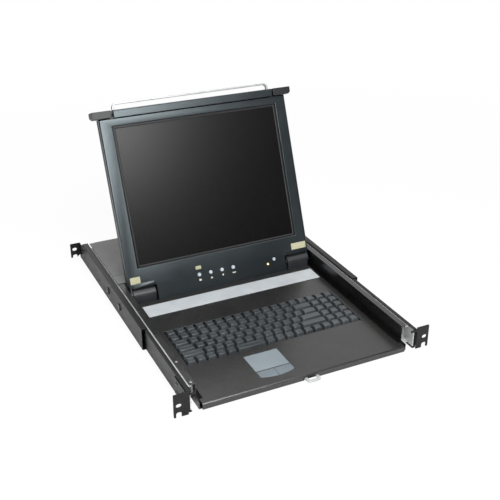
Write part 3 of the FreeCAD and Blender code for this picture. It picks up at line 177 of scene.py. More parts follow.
def scatterTree():
    # instances of one part on points: its Z axis follows each point's "aim", with a small random turn
    tree = bpy.data.node_groups.new("scatter", "GeometryNodeTree")
    inputs = {"Geometry": "Geometry", "Part": "Object", "Finish": "Material", "Turn": "Float", "Seed": "Int"}
    for name, kind in inputs.items():
        tree.interface.new_socket(name, in_out="INPUT", socket_type=f"NodeSocket{kind}")
    tree.interface.new_socket("Geometry", in_out="OUTPUT", socket_type="NodeSocketGeometry")
    add, link = tree.nodes.new, tree.links.new
    given = add("NodeGroupInput")
    aim = add("GeometryNodeInputNamedAttribute")
    aim.data_type = "FLOAT_VECTOR"
    aim.inputs["Name"].default_value = "aim"
    align = add("FunctionNodeAlignRotationToVector")
    align.axis = "Z"
    link(aim.outputs["Attribute"], align.inputs["Vector"])
    angle = add("FunctionNodeRandomValue")
    angle.data_type = "FLOAT"
    floats = [socket for socket in angle.inputs if socket.type == "VALUE"]
    floats[0].default_value = 0.0
    link(given.outputs["Turn"], floats[1])
    link(given.outputs["Seed"], angle.inputs["Seed"])
    spin = add("FunctionNodeAxisAngleToRotation")
    spin.inputs["Axis"].default_value = (0.0, 0.0, 1.0)
    link(next(socket for socket in angle.outputs if socket.type == "VALUE"), spin.inputs["Angle"])
    turned = add("FunctionNodeRotateRotation")
    turned.rotation_space = "LOCAL"
    link(align.outputs["Rotation"], turned.inputs["Rotation"])
    link(spin.outputs["Rotation"], turned.inputs["Rotate By"])
    part = add("GeometryNodeObjectInfo")
    link(given.outputs["Part"], part.inputs["Object"])
    place = add("GeometryNodeInstanceOnPoints")
    link(given.outputs["Geometry"], place.inputs["Points"])
    link(part.outputs["Geometry"], place.inputs["Instance"])
    link(turned.outputs["Rotation"], place.inputs["Rotation"])
    real = add("GeometryNodeRealizeInstances")
    link(place.outputs["Instances"], real.inputs["Geometry"])
    finish = add("GeometryNodeSetMaterial")
    link(real.outputs["Geometry"], finish.inputs["Geometry"])
    link(given.outputs["Finish"], finish.inputs["Material"])
    out = add("NodeGroupOutput")
    link(finish.outputs["Geometry"], out.inputs["Geometry"])
    return tree


def scatter(name, part, material, places, body, seed=1, turn=0.0):
    # places: pairs of a point and the direction that the part's Z axis takes there
    mesh = bpy.data.meshes.new(name)
    mesh.from_pydata([tuple(point) for point, aim in places], [], [])
    aims = mesh.attributes.new("aim", "FLOAT_VECTOR", "POINT")
    for i, (point, aim) in enumerate(places):
        aims.data[i].vector = aim
    piece = bpy.data.objects.new(name, mesh)
    bpy.context.collection.objects.link(piece)
    modifier = piece.modifiers.new("scatter", "NODES")
    modifier.node_group = repeater
    values = {"Part": part, "Finish": material, "Turn": turn, "Seed": seed}
    for item in repeater.interface.items_tree:
        if item.in_out == "INPUT" and item.name in values:
            modifier[item.identifier] = values[item.name]
    plainMesh(piece)
    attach(piece, body)


def turnedPart(name, rings, segments, material):
    # a small part of rings about Z: each ring is a height and one radius, or a radius for every segment
    bm = bmesh.new()
    loops = []
    for level, radius in rings:
        ring = []
        for i in range(segments):
            size = radius[i % len(radius)] if isinstance(radius, tuple) else radius
            angle = 2 * math.pi * i / segments
            ring.append(Vector((size * math.cos(angle), size * math.sin(angle), level)) * millimetre)
        loops.append(loopOf(bm, ring))
    closedStack(bm, loops)
    return meshPiece(name, bm, material, 50)


repeater = scatterTree()


class Flow:
    # a shader socket whose operators add the maths nodes
    def __init__(self, tree, socket=None):
        self.tree = tree
        self.socket = socket

    def node(self, kind, settings=None, inputs=None, out=0):
        made = self.tree.nodes.new(kind)
        for key, value in (settings or {}).items():
            setattr(made, key, value)
        for key, value in (inputs or {}).items():
            if isinstance(value, Flow):
                self.tree.links.new(value.socket, made.inputs[key])
            else:
                made.inputs[key].default_value = value
        return Flow(self.tree, made.outputs[out])

    def maths(self, operation, first, second):
        return self.node("ShaderNodeMath", {"operation": operation}, {0: first, 1: second})

    def __add__(self, other):
        return self.maths("ADD", self, other)

    def __radd__(self, other):
        return self.maths("ADD", other, self)

    def __sub__(self, other):
        return self.maths("SUBTRACT", self, other)

    def __rsub__(self, other):
        return self.maths("SUBTRACT", other, self)

    def __mul__(self, other):
        return self.maths("MULTIPLY", self, other)

    def __rmul__(self, other):
        return self.maths("MULTIPLY", other, self)


def tone(red, green, blue):
    # a colour as seen on a screen, 0 to 255, in the renderer's linear terms
    def linear(value):
        value = value / 255
        return value / 12.92 if value <= 0.04045 else ((value + 0.055) / 1.055) ** 2.4
    return (linear(red), linear(green), linear(blue), 1.0)


def mixed(flow, factor, first, second):
    return flow.node("ShaderNodeMix", {"data_type": "RGBA"}, {0: factor, 6: first, 7: second}, 2)


def newFinish(name):
    material = bpy.data.materials.new(name)
    material.use_nodes = True
    tree = material.node_tree
    shader = next(n for n in tree.nodes if n.type == "BSDF_PRINCIPLED")
    flow = Flow(tree)
    coords = flow.node("ShaderNodeTexCoord", out=3)
    return material, shader, flow, coords


def noise(flow, coords, scale, detail=4.0, roughness=0.55):
    return flow.node("ShaderNodeTexNoise", {}, {"Vector": coords, "Scale": scale, "Detail": detail,
                                                "Roughness": roughness})


def cells(flow, coords, scale):
    return flow.node("ShaderNodeTexVoronoi", {"feature": "F1"}, {"Vector": coords, "Scale": scale})


def ramp(flow, value, low, high):
    # a value's band from low to high, stretched to 0..1
    band = {"Value": value, "From Min": low, "From Max": high}
    return flow.node("ShaderNodeMapRange", {"clamp": True}, band)


def stretched(flow, coords, scale):
    # coordinates for lines that run along the directions with a small scale
    return flow.node("ShaderNodeMapping", {}, {"Vector": coords, "Scale": scale})


def twoTone(flow, pattern, look):
    # the finish's dark and light tones, mixed by the middle of a noise pattern
    return mixed(flow, ramp(flow, pattern, 0.3, 0.7), look["dark"], look["light"])


def join(flow, source, shader, socket):
    flow.tree.links.new(source.socket, shader.inputs[socket])


def bump(flow, shader, height, strength, distance):
    # distance is the relief's depth in metres
    made = flow.node("ShaderNodeBump", {}, {"Height": height, "Strength": strength, "Distance": distance})
    join(flow, made, shader, "Normal")


def paintedSteel(name, look):
    # powder coat: a fine orange peel, slightly uneven gloss and faint rubbed streaks along the piece
    pattern = {"cloud": 26.0, "wear": 60.0, "wearFrom": 0.62, "wearTo": 0.74, "depth": 0.0002}
    material, shader, flow, coords = newFinish(name)
    peel = noise(flow, coords, look["peel"], 3.0)
    cloud = noise(flow, coords, pattern["cloud"], 3.0)
    wear = noise(flow, stretched(flow, coords, look["streak"]), pattern["wear"], 5.0, 0.7)
    streaks = ramp(flow, wear, pattern["wearFrom"], pattern["wearTo"])
    worn = mixed(flow, streaks * look["rubbed"], twoTone(flow, cloud, look), look["bare"])
    join(flow, worn, shader, "Base Color")
    join(flow, look["roughness"] + (cloud - 0.5) * 0.12 - streaks * 0.08, shader, "Roughness")
    shader.inputs["Specular IOR Level"].default_value = look["gloss"]
    bump(flow, shader, peel, look["bump"], pattern["depth"])
    return material


def mouldedPlastic(name, look):
    # spark-eroded grain with a little variation in tone and gloss
    pattern = {"cloud": 14.0, "pits": 0.7, "speckFrom": 0.35, "speckTo": 0.75, "specks": 0.25,
               "depth": 0.00015}
    material, shader, flow, coords = newFinish(name)
    grain = noise(flow, coords, look["grain"], 2.0, 0.6)
    pits = cells(flow, coords, look["grain"] * pattern["pits"])
    cloud = noise(flow, coords, pattern["cloud"], 3.0)
    specks = ramp(flow, grain, pattern["speckFrom"], pattern["speckTo"]) * pattern["specks"]
    speckled = mixed(flow, specks, twoTone(flow, cloud, look), look["light"])
    join(flow, speckled, shader, "Base Color")
    join(flow, look["roughness"] + (grain - 0.5) * 0.10 + (cloud - 0.5) * 0.06, shader, "Roughness")
    shader.inputs["Specular IOR Level"].default_value = look.get("gloss", 0.5)
    shader.inputs["Specular Tint"].default_value = look.get("sheenTint", white)
    bump(flow, shader, grain + pits * 0.5, look["bump"], pattern["depth"])
    return material


def platedMetal(name, look):
    # zinc plate or brushed aluminium: fine lines along the rolling direction and soft blotches
    pattern = {"lines": 900.0, "blotch": 40.0, "depth": 0.0001}
    material, shader, flow, coords = newFinish(name)
    lines = noise(flow, stretched(flow, coords, look["brush"]), pattern["lines"], 3.0, 0.7)
    blotch = noise(flow, coords, pattern["blotch"])
    join(flow, twoTone(flow, blotch * 0.6 + lines * 0.4, look), shader, "Base Color")
    join(flow, look["roughness"] + (lines - 0.5) * 0.16 + (blotch - 0.5) * 0.10, shader, "Roughness")
    shader.inputs["Metallic"].default_value = look["metallic"]
    bump(flow, shader, lines, look["bump"], pattern["depth"])
    return material


def screenGlass(name, look):
    # switched-off anti-glare panel: near black, with fine sparkle and a faint unevenness
    pattern = {"sparkle": 2600.0, "cloud": 5.0, "bump": 0.05, "depth": 0.00005}
    material, shader, flow, coords = newFinish(name)
    sparkle = noise(flow, coords, pattern["sparkle"], 1.0)
    cloud = noise(flow, coords, pattern["cloud"], 2.0)
    join(flow, twoTone(flow, cloud, look), shader, "Base Color")
    join(flow, look["roughness"] + (sparkle - 0.5) * 0.08, shader, "Roughness")
    shader.inputs["Specular IOR Level"].default_value = look["gloss"]
    bump(flow, shader, sparkle, pattern["bump"], pattern["depth"])
    return material


def circuitBoard(name, look):
    # lacquered board with traces and pads
    pattern = {"Scale": 60.0, "Mortar Size": 0.012, "Brick Width": 0.8, "Row Height": 0.12}
    material, shader, flow, coords = newFinish(name)
    tones = {"Color1": look["trace"], "Color2": look["dark"], "Mortar": look["light"]}
    traces = flow.node("ShaderNodeTexBrick", {"offset": 0.5, "squash": 1.0},
                       {"Vector": coords, **tones, **pattern})
    join(flow, traces, shader, "Base Color")
    join(flow, 0.35 + noise(flow, coords, look["smear"]) * 0.2, shader, "Roughness")
    bump(flow, shader, noise(flow, coords, look["weave"]), 0.2, 0.0001)
    return material


def lampLens(name, look):
    # faceted translucent cap with a faint light of its own
    material, shader, flow, coords = newFinish(name)
    facets = cells(flow, coords, look["facets"])
    lens = mixed(flow, ramp(flow, facets, 0.0, 0.8), look["light"], look["dark"])
    join(flow, lens, shader, "Base Color")
    join(flow, lens, shader, "Emission Color")
    shader.inputs["Emission Strength"].default_value = look["glow"]
    join(flow, 0.18 + facets * 0.1, shader, "Roughness")
    return material


print("finishes")
finishLooks = {  # the looks of each finish, under the function that makes it
    paintedSteel: {
        "blackSteel": {"dark": tone(22, 22, 23), "light": tone(31, 31, 31), "bare": tone(84, 83, 80),
            "rubbed": 0.2, "gloss": 0.2, "roughness": 0.4, "peel": 1300.0, "streak": (1.0, 0.06, 1.0),
            "bump": 0.25},
        "trayPaint": {"dark": tone(16, 16, 16), "light": tone(23, 23, 23), "bare": tone(60, 60, 59),
            "rubbed": 0.12, "gloss": 0.8, "roughness": 0.28, "peel": 1500.0, "streak": (1.0, 0.06, 1.0),
            "bump": 0.2},
        "coverPaint": {"dark": tone(92, 92, 93), "light": tone(106, 106, 106),
            "bare": tone(138, 137, 134), "rubbed": 0.15, "gloss": 0.4, "roughness": 0.45, "peel": 1500.0,
            "streak": (1.0, 0.1, 1.0), "bump": 0.3},
        "hingePaint": {"dark": tone(40, 41, 44), "light": tone(54, 55, 59), "bare": tone(96, 96, 98),
            "rubbed": 0.25, "gloss": 0.5, "roughness": 0.4, "peel": 1100.0, "streak": (0.1, 1.0, 1.0),
            "bump": 0.25},
        "lidMetal": {"dark": tone(34, 35, 37), "light": tone(46, 47, 49), "bare": tone(84, 84, 86),
            "rubbed": 0.18, "gloss": 0.3, "roughness": 0.46, "peel": 1400.0, "streak": (1.0, 1.0, 0.08),
            "bump": 0.25},
    },
    mouldedPlastic: {
        "deckPlastic": {"dark": tone(24, 24, 24), "light": tone(33, 33, 32), "roughness": 0.27,
            "grain": 1900.0, "bump": 0.14, "gloss": 0.65},
        "platePlastic": {"dark": tone(14, 15, 16), "light": tone(24, 25, 26), "roughness": 0.6,
            "grain": 1500.0, "bump": 0.3},
        "keyPlastic": {"dark": tone(45, 49, 52), "light": tone(62, 67, 70), "roughness": 0.28,
            "grain": 2600.0, "bump": 0.25},
        "padPlastic": {"dark": tone(112, 123, 129), "light": tone(126, 137, 142), "roughness": 0.45,
            "grain": 3000.0, "bump": 0.12},
        "padKeys": {"dark": tone(92, 102, 109), "light": tone(106, 116, 122), "roughness": 0.42,
            "grain": 3000.0, "bump": 0.12},
        "lidPlastic": {"dark": tone(17, 20, 22), "light": tone(26, 30, 33), "roughness": 0.3,
            "grain": 2200.0, "bump": 0.12, "gloss": 0.85, "sheenTint": (0.82, 0.95, 1.0, 1.0)},
        "catchPlastic": {"dark": tone(14, 16, 17), "light": tone(24, 27, 28), "roughness": 0.4,
            "grain": 2200.0, "bump": 0.22},
        # black rubber of the screen's frame, also painted on the deck behind the bright strip as shade
        "gasket": {"dark": tone(8, 8, 9), "light": tone(15, 15, 16), "roughness": 0.5, "grain": 2600.0,
            "bump": 0.15},
        "buttonPlastic": {"dark": tone(176, 186, 196), "light": tone(196, 206, 214), "roughness": 0.36,
            "grain": 3000.0, "bump": 0.15},
        "symbolInk": {"dark": tone(214, 213, 186), "light": tone(236, 235, 212), "roughness": 0.5,
            "grain": 2400.0, "bump": 0.1},
        "portPlastic": {"dark": tone(18, 18, 19), "light": tone(28, 28, 29), "roughness": 0.5,
            "grain": 1800.0, "bump": 0.2},
        "padRubber": {"dark": tone(168, 165, 132), "light": tone(190, 188, 158), "roughness": 0.6,
            "grain": 1600.0, "bump": 0.2},
    },
    platedMetal: {
        "screwSteel": {"dark": tone(120, 121, 121), "light": tone(170, 171, 170),
            "brush": (1.0, 1.0, 1.0), "metallic": 0.8, "roughness": 0.36, "bump": 0.1},
        "blackScrew": {"dark": tone(30, 30, 31), "light": tone(46, 46, 47), "brush": (1.0, 1.0, 1.0),
            "metallic": 0.3, "roughness": 0.4, "bump": 0.1},
        "brightPlate": {"dark": tone(178, 183, 187), "light": tone(198, 203, 206),
            "brush": (0.02, 1.0, 1.0), "metallic": 0.15, "roughness": 0.42, "bump": 0.12},
        "pullMetal": {"dark": tone(170, 172, 173), "light": tone(194, 196, 196),
            "brush": (0.02, 1.0, 1.0), "metallic": 0.3, "roughness": 0.36, "bump": 0.12},
        "zincPlate": {"dark": tone(196, 199, 199), "light": tone(226, 228, 227),
            "brush": (1.0, 0.02, 1.0), "metallic": 0.45, "roughness": 0.38, "bump": 0.2},
        "slidePlate": {"dark": tone(184, 186, 186), "light": tone(206, 208, 208),
            "brush": (1.0, 0.02, 1.0), "metallic": 0.15, "roughness": 0.4, "bump": 0.2},
        "darkZinc": {"dark": tone(52, 52, 52), "light": tone(68, 68, 67), "brush": (1.0, 0.02, 1.0),
            "metallic": 0.3, "roughness": 0.45, "bump": 0.2},
        "ballSteel": {"dark": tone(190, 191, 192), "light": tone(224, 224, 224), "brush": (1.0, 1.0, 1.0),
            "metallic": 1.0, "roughness": 0.16, "bump": 0.03},
    },
    screenGlass: {
        "screenGlass": {"dark": tone(4, 4, 4), "light": tone(8, 8, 8), "gloss": 0.33, "roughness": 0.28},
    },
    circuitBoard: {
        "circuitBoard": {"dark": tone(22, 70, 40), "light": tone(16, 52, 30), "trace": tone(38, 96, 58),
            "smear": 300.0, "weave": 500.0},
    },
    lampLens: {
        "lampLens": {"dark": tone(216, 204, 132), "light": tone(246, 240, 190), "facets": 1800.0,
            "glow": 0.7},
    },
}
finishes = {name: make(name, look) for make, looks in finishLooks.items() for name, look in looks.items()}

print("sheet metal and mouldings")
edgeLook = {"segments": 2, "angle": 40, "merge": 1e-6, "flatWithin": 0.6}
roundedNodes = {  # the radius of each piece's edges, by its finish
    "blackSteel": {"rail_left": 0.35, "rail_right": 0.35, "front_ear_left": 0.4, "front_ear_right": 0.4,
                   "rear_bracket_left": 0.35, "rear_bracket_right": 0.35},
    "slidePlate": {"slide_spacers": 0.3},
    "darkZinc": {"bracket_clamp_left": 0.4, "bracket_clamp_right": 0.4},
    "trayPaint": {"tray_pan": 0.3, "rear_panel": 0.25},
    "coverPaint": {"hinge_cover": 0.3, "chassis_cover": 0.3},
    "hingePaint": {"hinge_block_left": 0.7, "hinge_block_right": 0.7,
                   "hinge_arm_left": 0.35, "hinge_arm_right": 0.35},
    "deckPlastic": {"keyboard_deck": 0.6},
    "padPlastic": {"touchpad": 0.3},
    "padKeys": {"touchpad_button_left": 0.7, "touchpad_button_right": 0.7},
    "brightPlate": {"bright_strip": 0.25},
    "pullMetal": {"pull_tab": 0.8, "lid_handle": 0.9},
    "portPlastic": {"power_inlet": 0.3, "rear_ports": 0.25, "power_switch": 0.4},
    "lidPlastic": {"lid_bezel": 0.5, "lid_front_bar": 0.6},
    "catchPlastic": {"catch_left": 1.0, "catch_right": 1.0},
    "lidMetal": {"lid_rear_cover": 0.5},
    "padRubber": {"corner_pads": 0.35},
}


def softened(node, material, radius):
    # the node's own shape with its edges rounded, as bending, casting or moulding leaves them
    look = edgeLook
    bm = bmesh.new()
    bm.from_mesh(nodes[node].data)
    bmesh.ops.remove_doubles(bm, verts=bm.verts, dist=look["merge"])
    flat = math.radians(look["flatWithin"])
    bmesh.ops.dissolve_limit(bm, angle_limit=flat, verts=bm.verts, edges=bm.edges)
    piece = meshPiece(f"{node}_skin", bm, material, look["angle"])
    bevel = piece.modifiers.new("edges", "BEVEL")
    bevel.width = radius * millimetre
    bevel.segments = look["segments"]
    bevel.limit_method = "ANGLE"
    bevel.angle_limit = math.radians(look["angle"])
    bevel.use_clamp_overlap = False
    bevel.harden_normals = True
    plainMesh(piece)
    standFor(piece, node)
    return piece


def paintShadeBehind(piece, line, material):
    # the part of a piece behind a line across the unit takes another finish, here a black one painted on as
    # shade
    bm = bmesh.new()
    bm.from_mesh(piece.data)
    everything = bm.verts[:] + bm.edges[:] + bm.faces[:]
    bmesh.ops.bisect_plane(bm, geom=everything, plane_co=(0, line, 0), plane_no=backward)
    for face in bm.faces:
        face.material_index = 1 if face.calc_center_median().y > line else 0
    bm.to_mesh(piece.data)
    bm.free()
    piece.data.materials.append(material)


skins = {node: softened(node, finishes[finish], radius)
         for finish, members in roundedNodes.items() for node, radius in members.items()}
# the deck behind the bright strip is painted black as shade, standing in for the shadowed gap under the
# lid's chin
stripGap = 0.4
paintedShadeLine = (unitBox("bright_strip")[1].y + stripGap) * millimetre
paintShadeBehind(skins["keyboard_deck"], paintedShadeLine, finishes["gasket"])

plainNodes = {  # nodes that keep their own mesh, by finish
    "slidePlate": ["slide_outer_left", "slide_outer_right", "slide_middle_left", "slide_middle_right",
                   "slide_inner_left", "slide_inner_right"],
    "zincPlate": ["power_supply"],
    "platePlastic": ["key_plate"],
    "screenGlass": ["lcd_panel"],
    "circuitBoard": ["main_board", "display_board"],
}
for finish, members in plainNodes.items():
    for node in members:
        piece = nodes[node]
        for slot in piece.material_slots:
            slot.material = finishes[finish]
        if not piece.material_slots:
            piece.data.materials.append(finishes[finish])

print("small parts")


def placesOn(points, aim):
    return [(Vector(point) * millimetre, aim) for point in points]


def placesOnSides(across, rows, heights):
    # spots on the outer faces of both sides, each facing away from the unit
    return [(Vector((side * across, y, z)) * millimetre, (side, 0, 0))
            for side in (-1, 1) for y in rows for z in heights]


def addScrews():
    look = {"radius": 2.6, "height": 1.1, "sunk": 0.4, "arm": 1.35, "core": 0.5, "recess": 0.25,
            "turn": 1.5, "seed": 4,
            "earSheet": 2.0, "earRows": (18, 44), "earHeights": (-8, 8),
            "coverSink": 0.8, "coverColumns": (-190, 0, 190), "coverRows": (392, 428, 562),
            "flangeSink": 0.2, "flangeColumn": -201.5, "flangeRows": (23, 86),
            "panelCorners": [(x, z) for x in (-190, 190) for z in (-15, 14)] + [(0, 14)],
            "lidEdge": [(x, v) for x in (-182, 0, 182) for v in (26, 322)],
            "lidMount": [(x, v) for x in (-50, 50) for v in (130, 230)]}
    cross = (look["arm"], look["core"], look["core"])  # the cross recess, with an arm at every third point
    rings = [(-look["sunk"], look["radius"]), (look["height"] * 0.45, look["radius"]),
             (look["height"] * 0.85, look["radius"] * 0.82), (look["height"], look["radius"] * 0.6),
             (look["height"], look["arm"] * 1.02), (look["height"], cross), (look["recess"], cross)]
    head = turnedPart("screwHead", rings, 12, finishes["screwSteel"])
    earFace = unitBox("rail_right")[1].x + look["earSheet"]
    coverLevel = unitBox("chassis_cover")[1].z - look["coverSink"]
    flangeLevel = unitBox("tray_pan")[1].z - look["flangeSink"]
    panelFace = unitBox("rear_panel")[1].y
    ears = placesOnSides(earFace, look["earRows"], look["earHeights"])
    covers = [(x, y, coverLevel) for x in look["coverColumns"] for y in look["coverRows"]]
    flanges = [(look["flangeColumn"], y, flangeLevel) for y in look["flangeRows"]]
    panels = [(x, panelFace, z) for x, z in look["panelCorners"]]
    lids = [(lidPoint(x, lidFaces["rear"], v), lidTurn @ Vector(backward))
            for x, v in look["lidEdge"] + look["lidMount"]]
    groups = [
        ("rail_screws", "blackScrew", ears, "rack_frame", "zinc_steel", 0),
        ("cover_screws", "coverPaint", placesOn(covers, upward), "drawer", "cover_paint", 0),
        ("flange_screws", "screwSteel", placesOn(flanges, upward), "drawer", "zinc_steel", 0),
        ("lid_screws", "blackScrew", lids, "lid", "zinc_steel", 1),
        ("panel_screws", "screwSteel", placesOn(panels, backward), "drawer", "zinc_steel", 2),
    ]
    for name, finish, places, body, slot, extra in groups:
        scatter(name, head, finishes[finish], places, body, look["seed"] + extra, look["turn"])
    bpy.data.objects.remove(head)


def addRivets():
    look = {"radius": 3.2, "height": 0.9, "sunk": 0.3, "rim": 0.1,
            "rows": (57, 293, 558), "heights": (-8.5, 8.5)}
    rings = [(-look["sunk"], look["radius"]), (look["rim"], look["radius"]),
             (look["height"] * 0.7, look["radius"] * 0.72), (look["height"], look["radius"] * 0.3)]
    head = turnedPart("rivetHead", rings, 12, finishes["blackSteel"])
    places = placesOnSides(unitBox("rail_right")[1].x, look["rows"], look["heights"])
    scatter("rail_rivets", head, finishes["blackSteel"], places, "rack_frame")
    bpy.data.objects.remove(head)


def addJackNuts():
    # the two hexagonal nuts beside the video port
    look = {"across": 2.9, "height": 2.2, "sunk": 0.2, "bore": 1.4, "boreFloor": 0.3,
            "port": 30.0, "apart": 24.6}
    rings = [(-look["sunk"], look["across"]), (look["height"] * 0.85, look["across"]),
             (look["height"], look["across"] * 0.9), (look["height"], look["bore"]),
             (look["boreFloor"], look["bore"])]
    nut = turnedPart("jackNut", rings, 6, finishes["screwSteel"])
    low, high = unitBox("rear_ports")
    y, z = unitBox("rear_panel")[1].y, (low.z + high.z) / 2
    places = placesOn([(look["port"] + side * look["apart"] / 2, y, z) for side in (-1, 1)], backward)
    scatter("jack_nuts", nut, finishes["screwSteel"], places, "drawer")
    bpy.data.objects.remove(nut)


menuButtons = [f"osd_button_{i}" for i in (1, 2, 3, 4)]


def lidMiddle(node):
    # the middle of a lid piece, across and up
    low, high = lidBox(node)
    return (low.x + high.x) / 2, (low.z + high.z) / 2


def addButtons():
    look = {"edge": 0.35, "dish": 0.25, "inside": 2.6, "segments": 28}
    controls = {node: (3.5, 0.8) for node in menuButtons}  # each one's radius and how far it stands proud
    controls["display_switch"] = (3.2, 0.8)
    controls["status_lamp"] = (2.2, 0.4)
    edge = look["edge"]
    for node, (radius, proud) in controls.items():
        bm = bmesh.new()
        x, line = lidMiddle(node)
        top = lidFaces["bezel"] - proud
        levels = [(radius, look["inside"]), (radius, top + edge), (radius - edge * 0.3, top + edge * 0.3),
                  (radius - edge, top), (radius * 0.72, top), (radius * 0.4, top + look["dish"] * 0.8)]
        turns = [2 * math.pi * i / look["segments"] for i in range(look["segments"])]
        closedStack(bm, [loopOf(bm, [lidPoint(x + size * math.cos(turn), depth, line + size * math.sin(turn))
                                     for turn in turns]) for size, depth in levels])
        finish = "lampLens" if node == "status_lamp" else "buttonPlastic"
        standFor(meshPiece(f"{node}_cap", bm, finishes[finish]), node)


def addGasket():
    # the panel's black frame, seen all round inside the lid's opening
    look = {"half": 168.6, "low": 51.4, "high": 319.6, "band": 3.4, "rise": 1.0, "sunk": 0.1}
    bm = bmesh.new()
    base = lidFaces["panel"] + look["sunk"]
    crest = lidFaces["panel"] - look["rise"]
    loops = []
    for inset, depth in ((0, base), (0, crest), (0.4, crest - 0.2), (look["band"] * 0.6, crest - 0.1),
                         (look["band"], lidFaces["panel"] - look["sunk"]), (look["band"], base)):
        half, low, high = look["half"] - inset, look["low"] + inset, look["high"] - inset
        corners = ((-half, low), (half, low), (half, high), (-half, high))
        loops.append(loopOf(bm, [lidPoint(x, depth, v) for x, v in corners]))
    for lower, upper in zip(loops, loops[1:] + loops[:1]):
        bridge(bm, lower, upper)
    rideLid(meshPiece("screen_gasket", bm, finishes["gasket"]))


def windowStrip(bm, xs, ys, low, high):
    # a flat strip over the grid of xs and ys, with a window in every second cell of its middle column
    layers = [[[bm.verts.new(Vector((x, y, z)) * millimetre) for y in ys] for x in xs] for z in (low, high)]

    def solid(column, row):
        inside = 0 <= column < len(xs) - 1 and 0 <= row < len(ys) - 1
        return inside and not (column == 1 and row % 2 == 1)

    for column in range(len(xs) - 1):
        for row in range(len(ys) - 1):
            if not solid(column, row):
                continue
            corners = ((column, row), (column + 1, row), (column + 1, row + 1), (column, row + 1))
            for layer in layers:
                bm.faces.new([layer[i][j] for i, j in corners])
            beside = ((column, row - 1), (column + 1, row), (column, row + 1), (column - 1, row))
            for side, (first, second) in enumerate(zip(corners, corners[1:] + corners[:1])):
                if not solid(*beside[side]):
                    bm.faces.new([layers[0][first[0]][first[1]], layers[0][second[0]][second[1]],
                                  layers[1][second[0]][second[1]], layers[1][first[0]][first[1]]])


def addBalls():
    # flatShare: the cages' box ends where its balls are cut flat, at this share of their radius
    look = {"radius": 1.6, "clear": 0.1, "count": 11, "end": 20.0, "width": 6.0, "sheet": 0.8,
            "flatShare": 0.8165}
    bm = bmesh.new()
    bmesh.ops.create_icosphere(bm, subdivisions=2, radius=look["radius"] * millimetre)
    ball = meshPiece("bearingBall", bm, finishes["ballSteel"], 180)
    room = look["radius"] + look["clear"]
    strips = [(side, half) for side in (-1, 1) for half in (-1, 1)]
    for node in ("outer_ball_cages", "inner_ball_cages"):
        low, high = unitBox(node)
        across = high.x - look["width"] / 2
        middle = (low.z + high.z) / 2
        level = (high.z - low.z) / 2 - look["radius"] * look["flatShare"]
        first, last = low.y + look["end"], high.y - look["end"]
        rows = [first + (last - first) * i / (look["count"] - 1) for i in range(look["count"])]
        spots = [(side * across, y, middle + half * level) for side, half in strips for y in rows]
        scatter(f"{node}_balls", ball, finishes["ballSteel"], placesOn(spots, upward), node)
        bm = bmesh.new()
        edges = [low.y] + [y + step for y in rows for step in (-room, room)] + [high.y]
        for side, half in strips:
            xs = [side * across + step for step in (-look["width"] / 2, -room, room, look["width"] / 2)]
            z = middle + half * level
            windowStrip(bm, xs, edges, z - look["sheet"] / 2, z + look["sheet"] / 2)
        standFor(meshPiece(f"{node}_strips", bm, finishes["zincPlate"]), node)
    bpy.data.objects.remove(ball)


def addBumper():
    # a small rubber pad on the lid above the first button
    look = {"line": 27.0, "width": 12.0, "height": 7.0, "radius": 1.6, "proud": 0.9, "sunk": 0.2}
    bm = bmesh.new()
    middle = lidMiddle(menuButtons[0])[0]
    face = lidFaces["bezel"]
    loops = []
    for inset, depth in ((0, face + look["sunk"]), (0, face - look["proud"] * 0.5),
                         (0.25, face - look["proud"] * 0.9), (0.7, face - look["proud"])):
        outline = roundedLoop(look["width"] - inset * 2, look["height"] - inset * 2, look["radius"])
        loops.append(loopOf(bm, [lidPoint(middle + x, depth, look["line"] + v) for x, v in outline]))
    closedStack(bm, loops)
    rideLid(meshPiece("lid_bumper", bm, finishes["padRubber"]))


def addSymbols():
    # plain shapes in thick ink under the buttons: a square, two triangles and a bar
    look = {"line": 2.4, "half": 2.1, "proud": 0.08, "sunk": 0.05, "aside": 0.4}
    shapes = [((-1, -0.8), (1, -0.8), (1, 0.8), (-1, 0.8)), ((-1, -0.8), (1, -0.8), (0, 0.9)),
              ((-1, 0.8), (0, -0.9), (1, 0.8)), ((-1.6, -0.45), (1.6, -0.45), (1.6, 0.45), (-1.6, 0.45))]
    bm = bmesh.new()
    levels = (lidFaces["bezel"] + look["sunk"], lidFaces["bezel"] - look["proud"])
    for button, shape in zip(menuButtons, shapes):
        x0 = lidMiddle(button)[0] + look["aside"]
        closedStack(bm, [loopOf(bm, [lidPoint(x0 + x * look["half"], depth, look["line"] + v * look["half"])
                                     for x, v in shape]) for depth in levels])
    rideLid(meshPiece("button_symbols", bm, finishes["symbolInk"]))


addScrews()
addRivets()
addJackNuts()
addButtons()
addGasket()
addBalls()
addBumper()
addSymbols()

print("keys")
keyRows = {  # each row's number from the front, and its keys: how many pitches from the left, and how wide
    "key_row_bottom": (0, [(i, 1) for i in (0, 1, 2, 3, 4, 8, 9, 10, 11, 12, 13, 14)]),
    "space_bar": (0, [(5, 3)]),
    "key_row_lower": (1, [(0, 2.25)] + [(2.25 + i, 1) for i in range(10)] + [(12.25, 2.75)]),
    "key_row_home": (2, [(0, 1.75)] + [(1.75 + i, 1) for i in range(11)] + [(12.75, 2.25)]),
    "key_row_upper": (3, [(0, 1.5)] + [(1.5 + i, 1) for i in range(12)] + [(13.5, 1.5)]),
    "key_row_number": (4, [(i, 1) for i in range(13)] + [(13, 2)]),
    "key_row_function": (5, [(i, 1) for i in range(15)]),
}
keyLook = {"pitch": 19.05, "gap": 2.2, "skirt": -10.8, "taper": 2.1, "corner": 1.5, "edge": 0.7, "lean": 0.3,
           "dish": 0.55, "sunk": 0.01, "sideColumns": (15, 16, 17)}


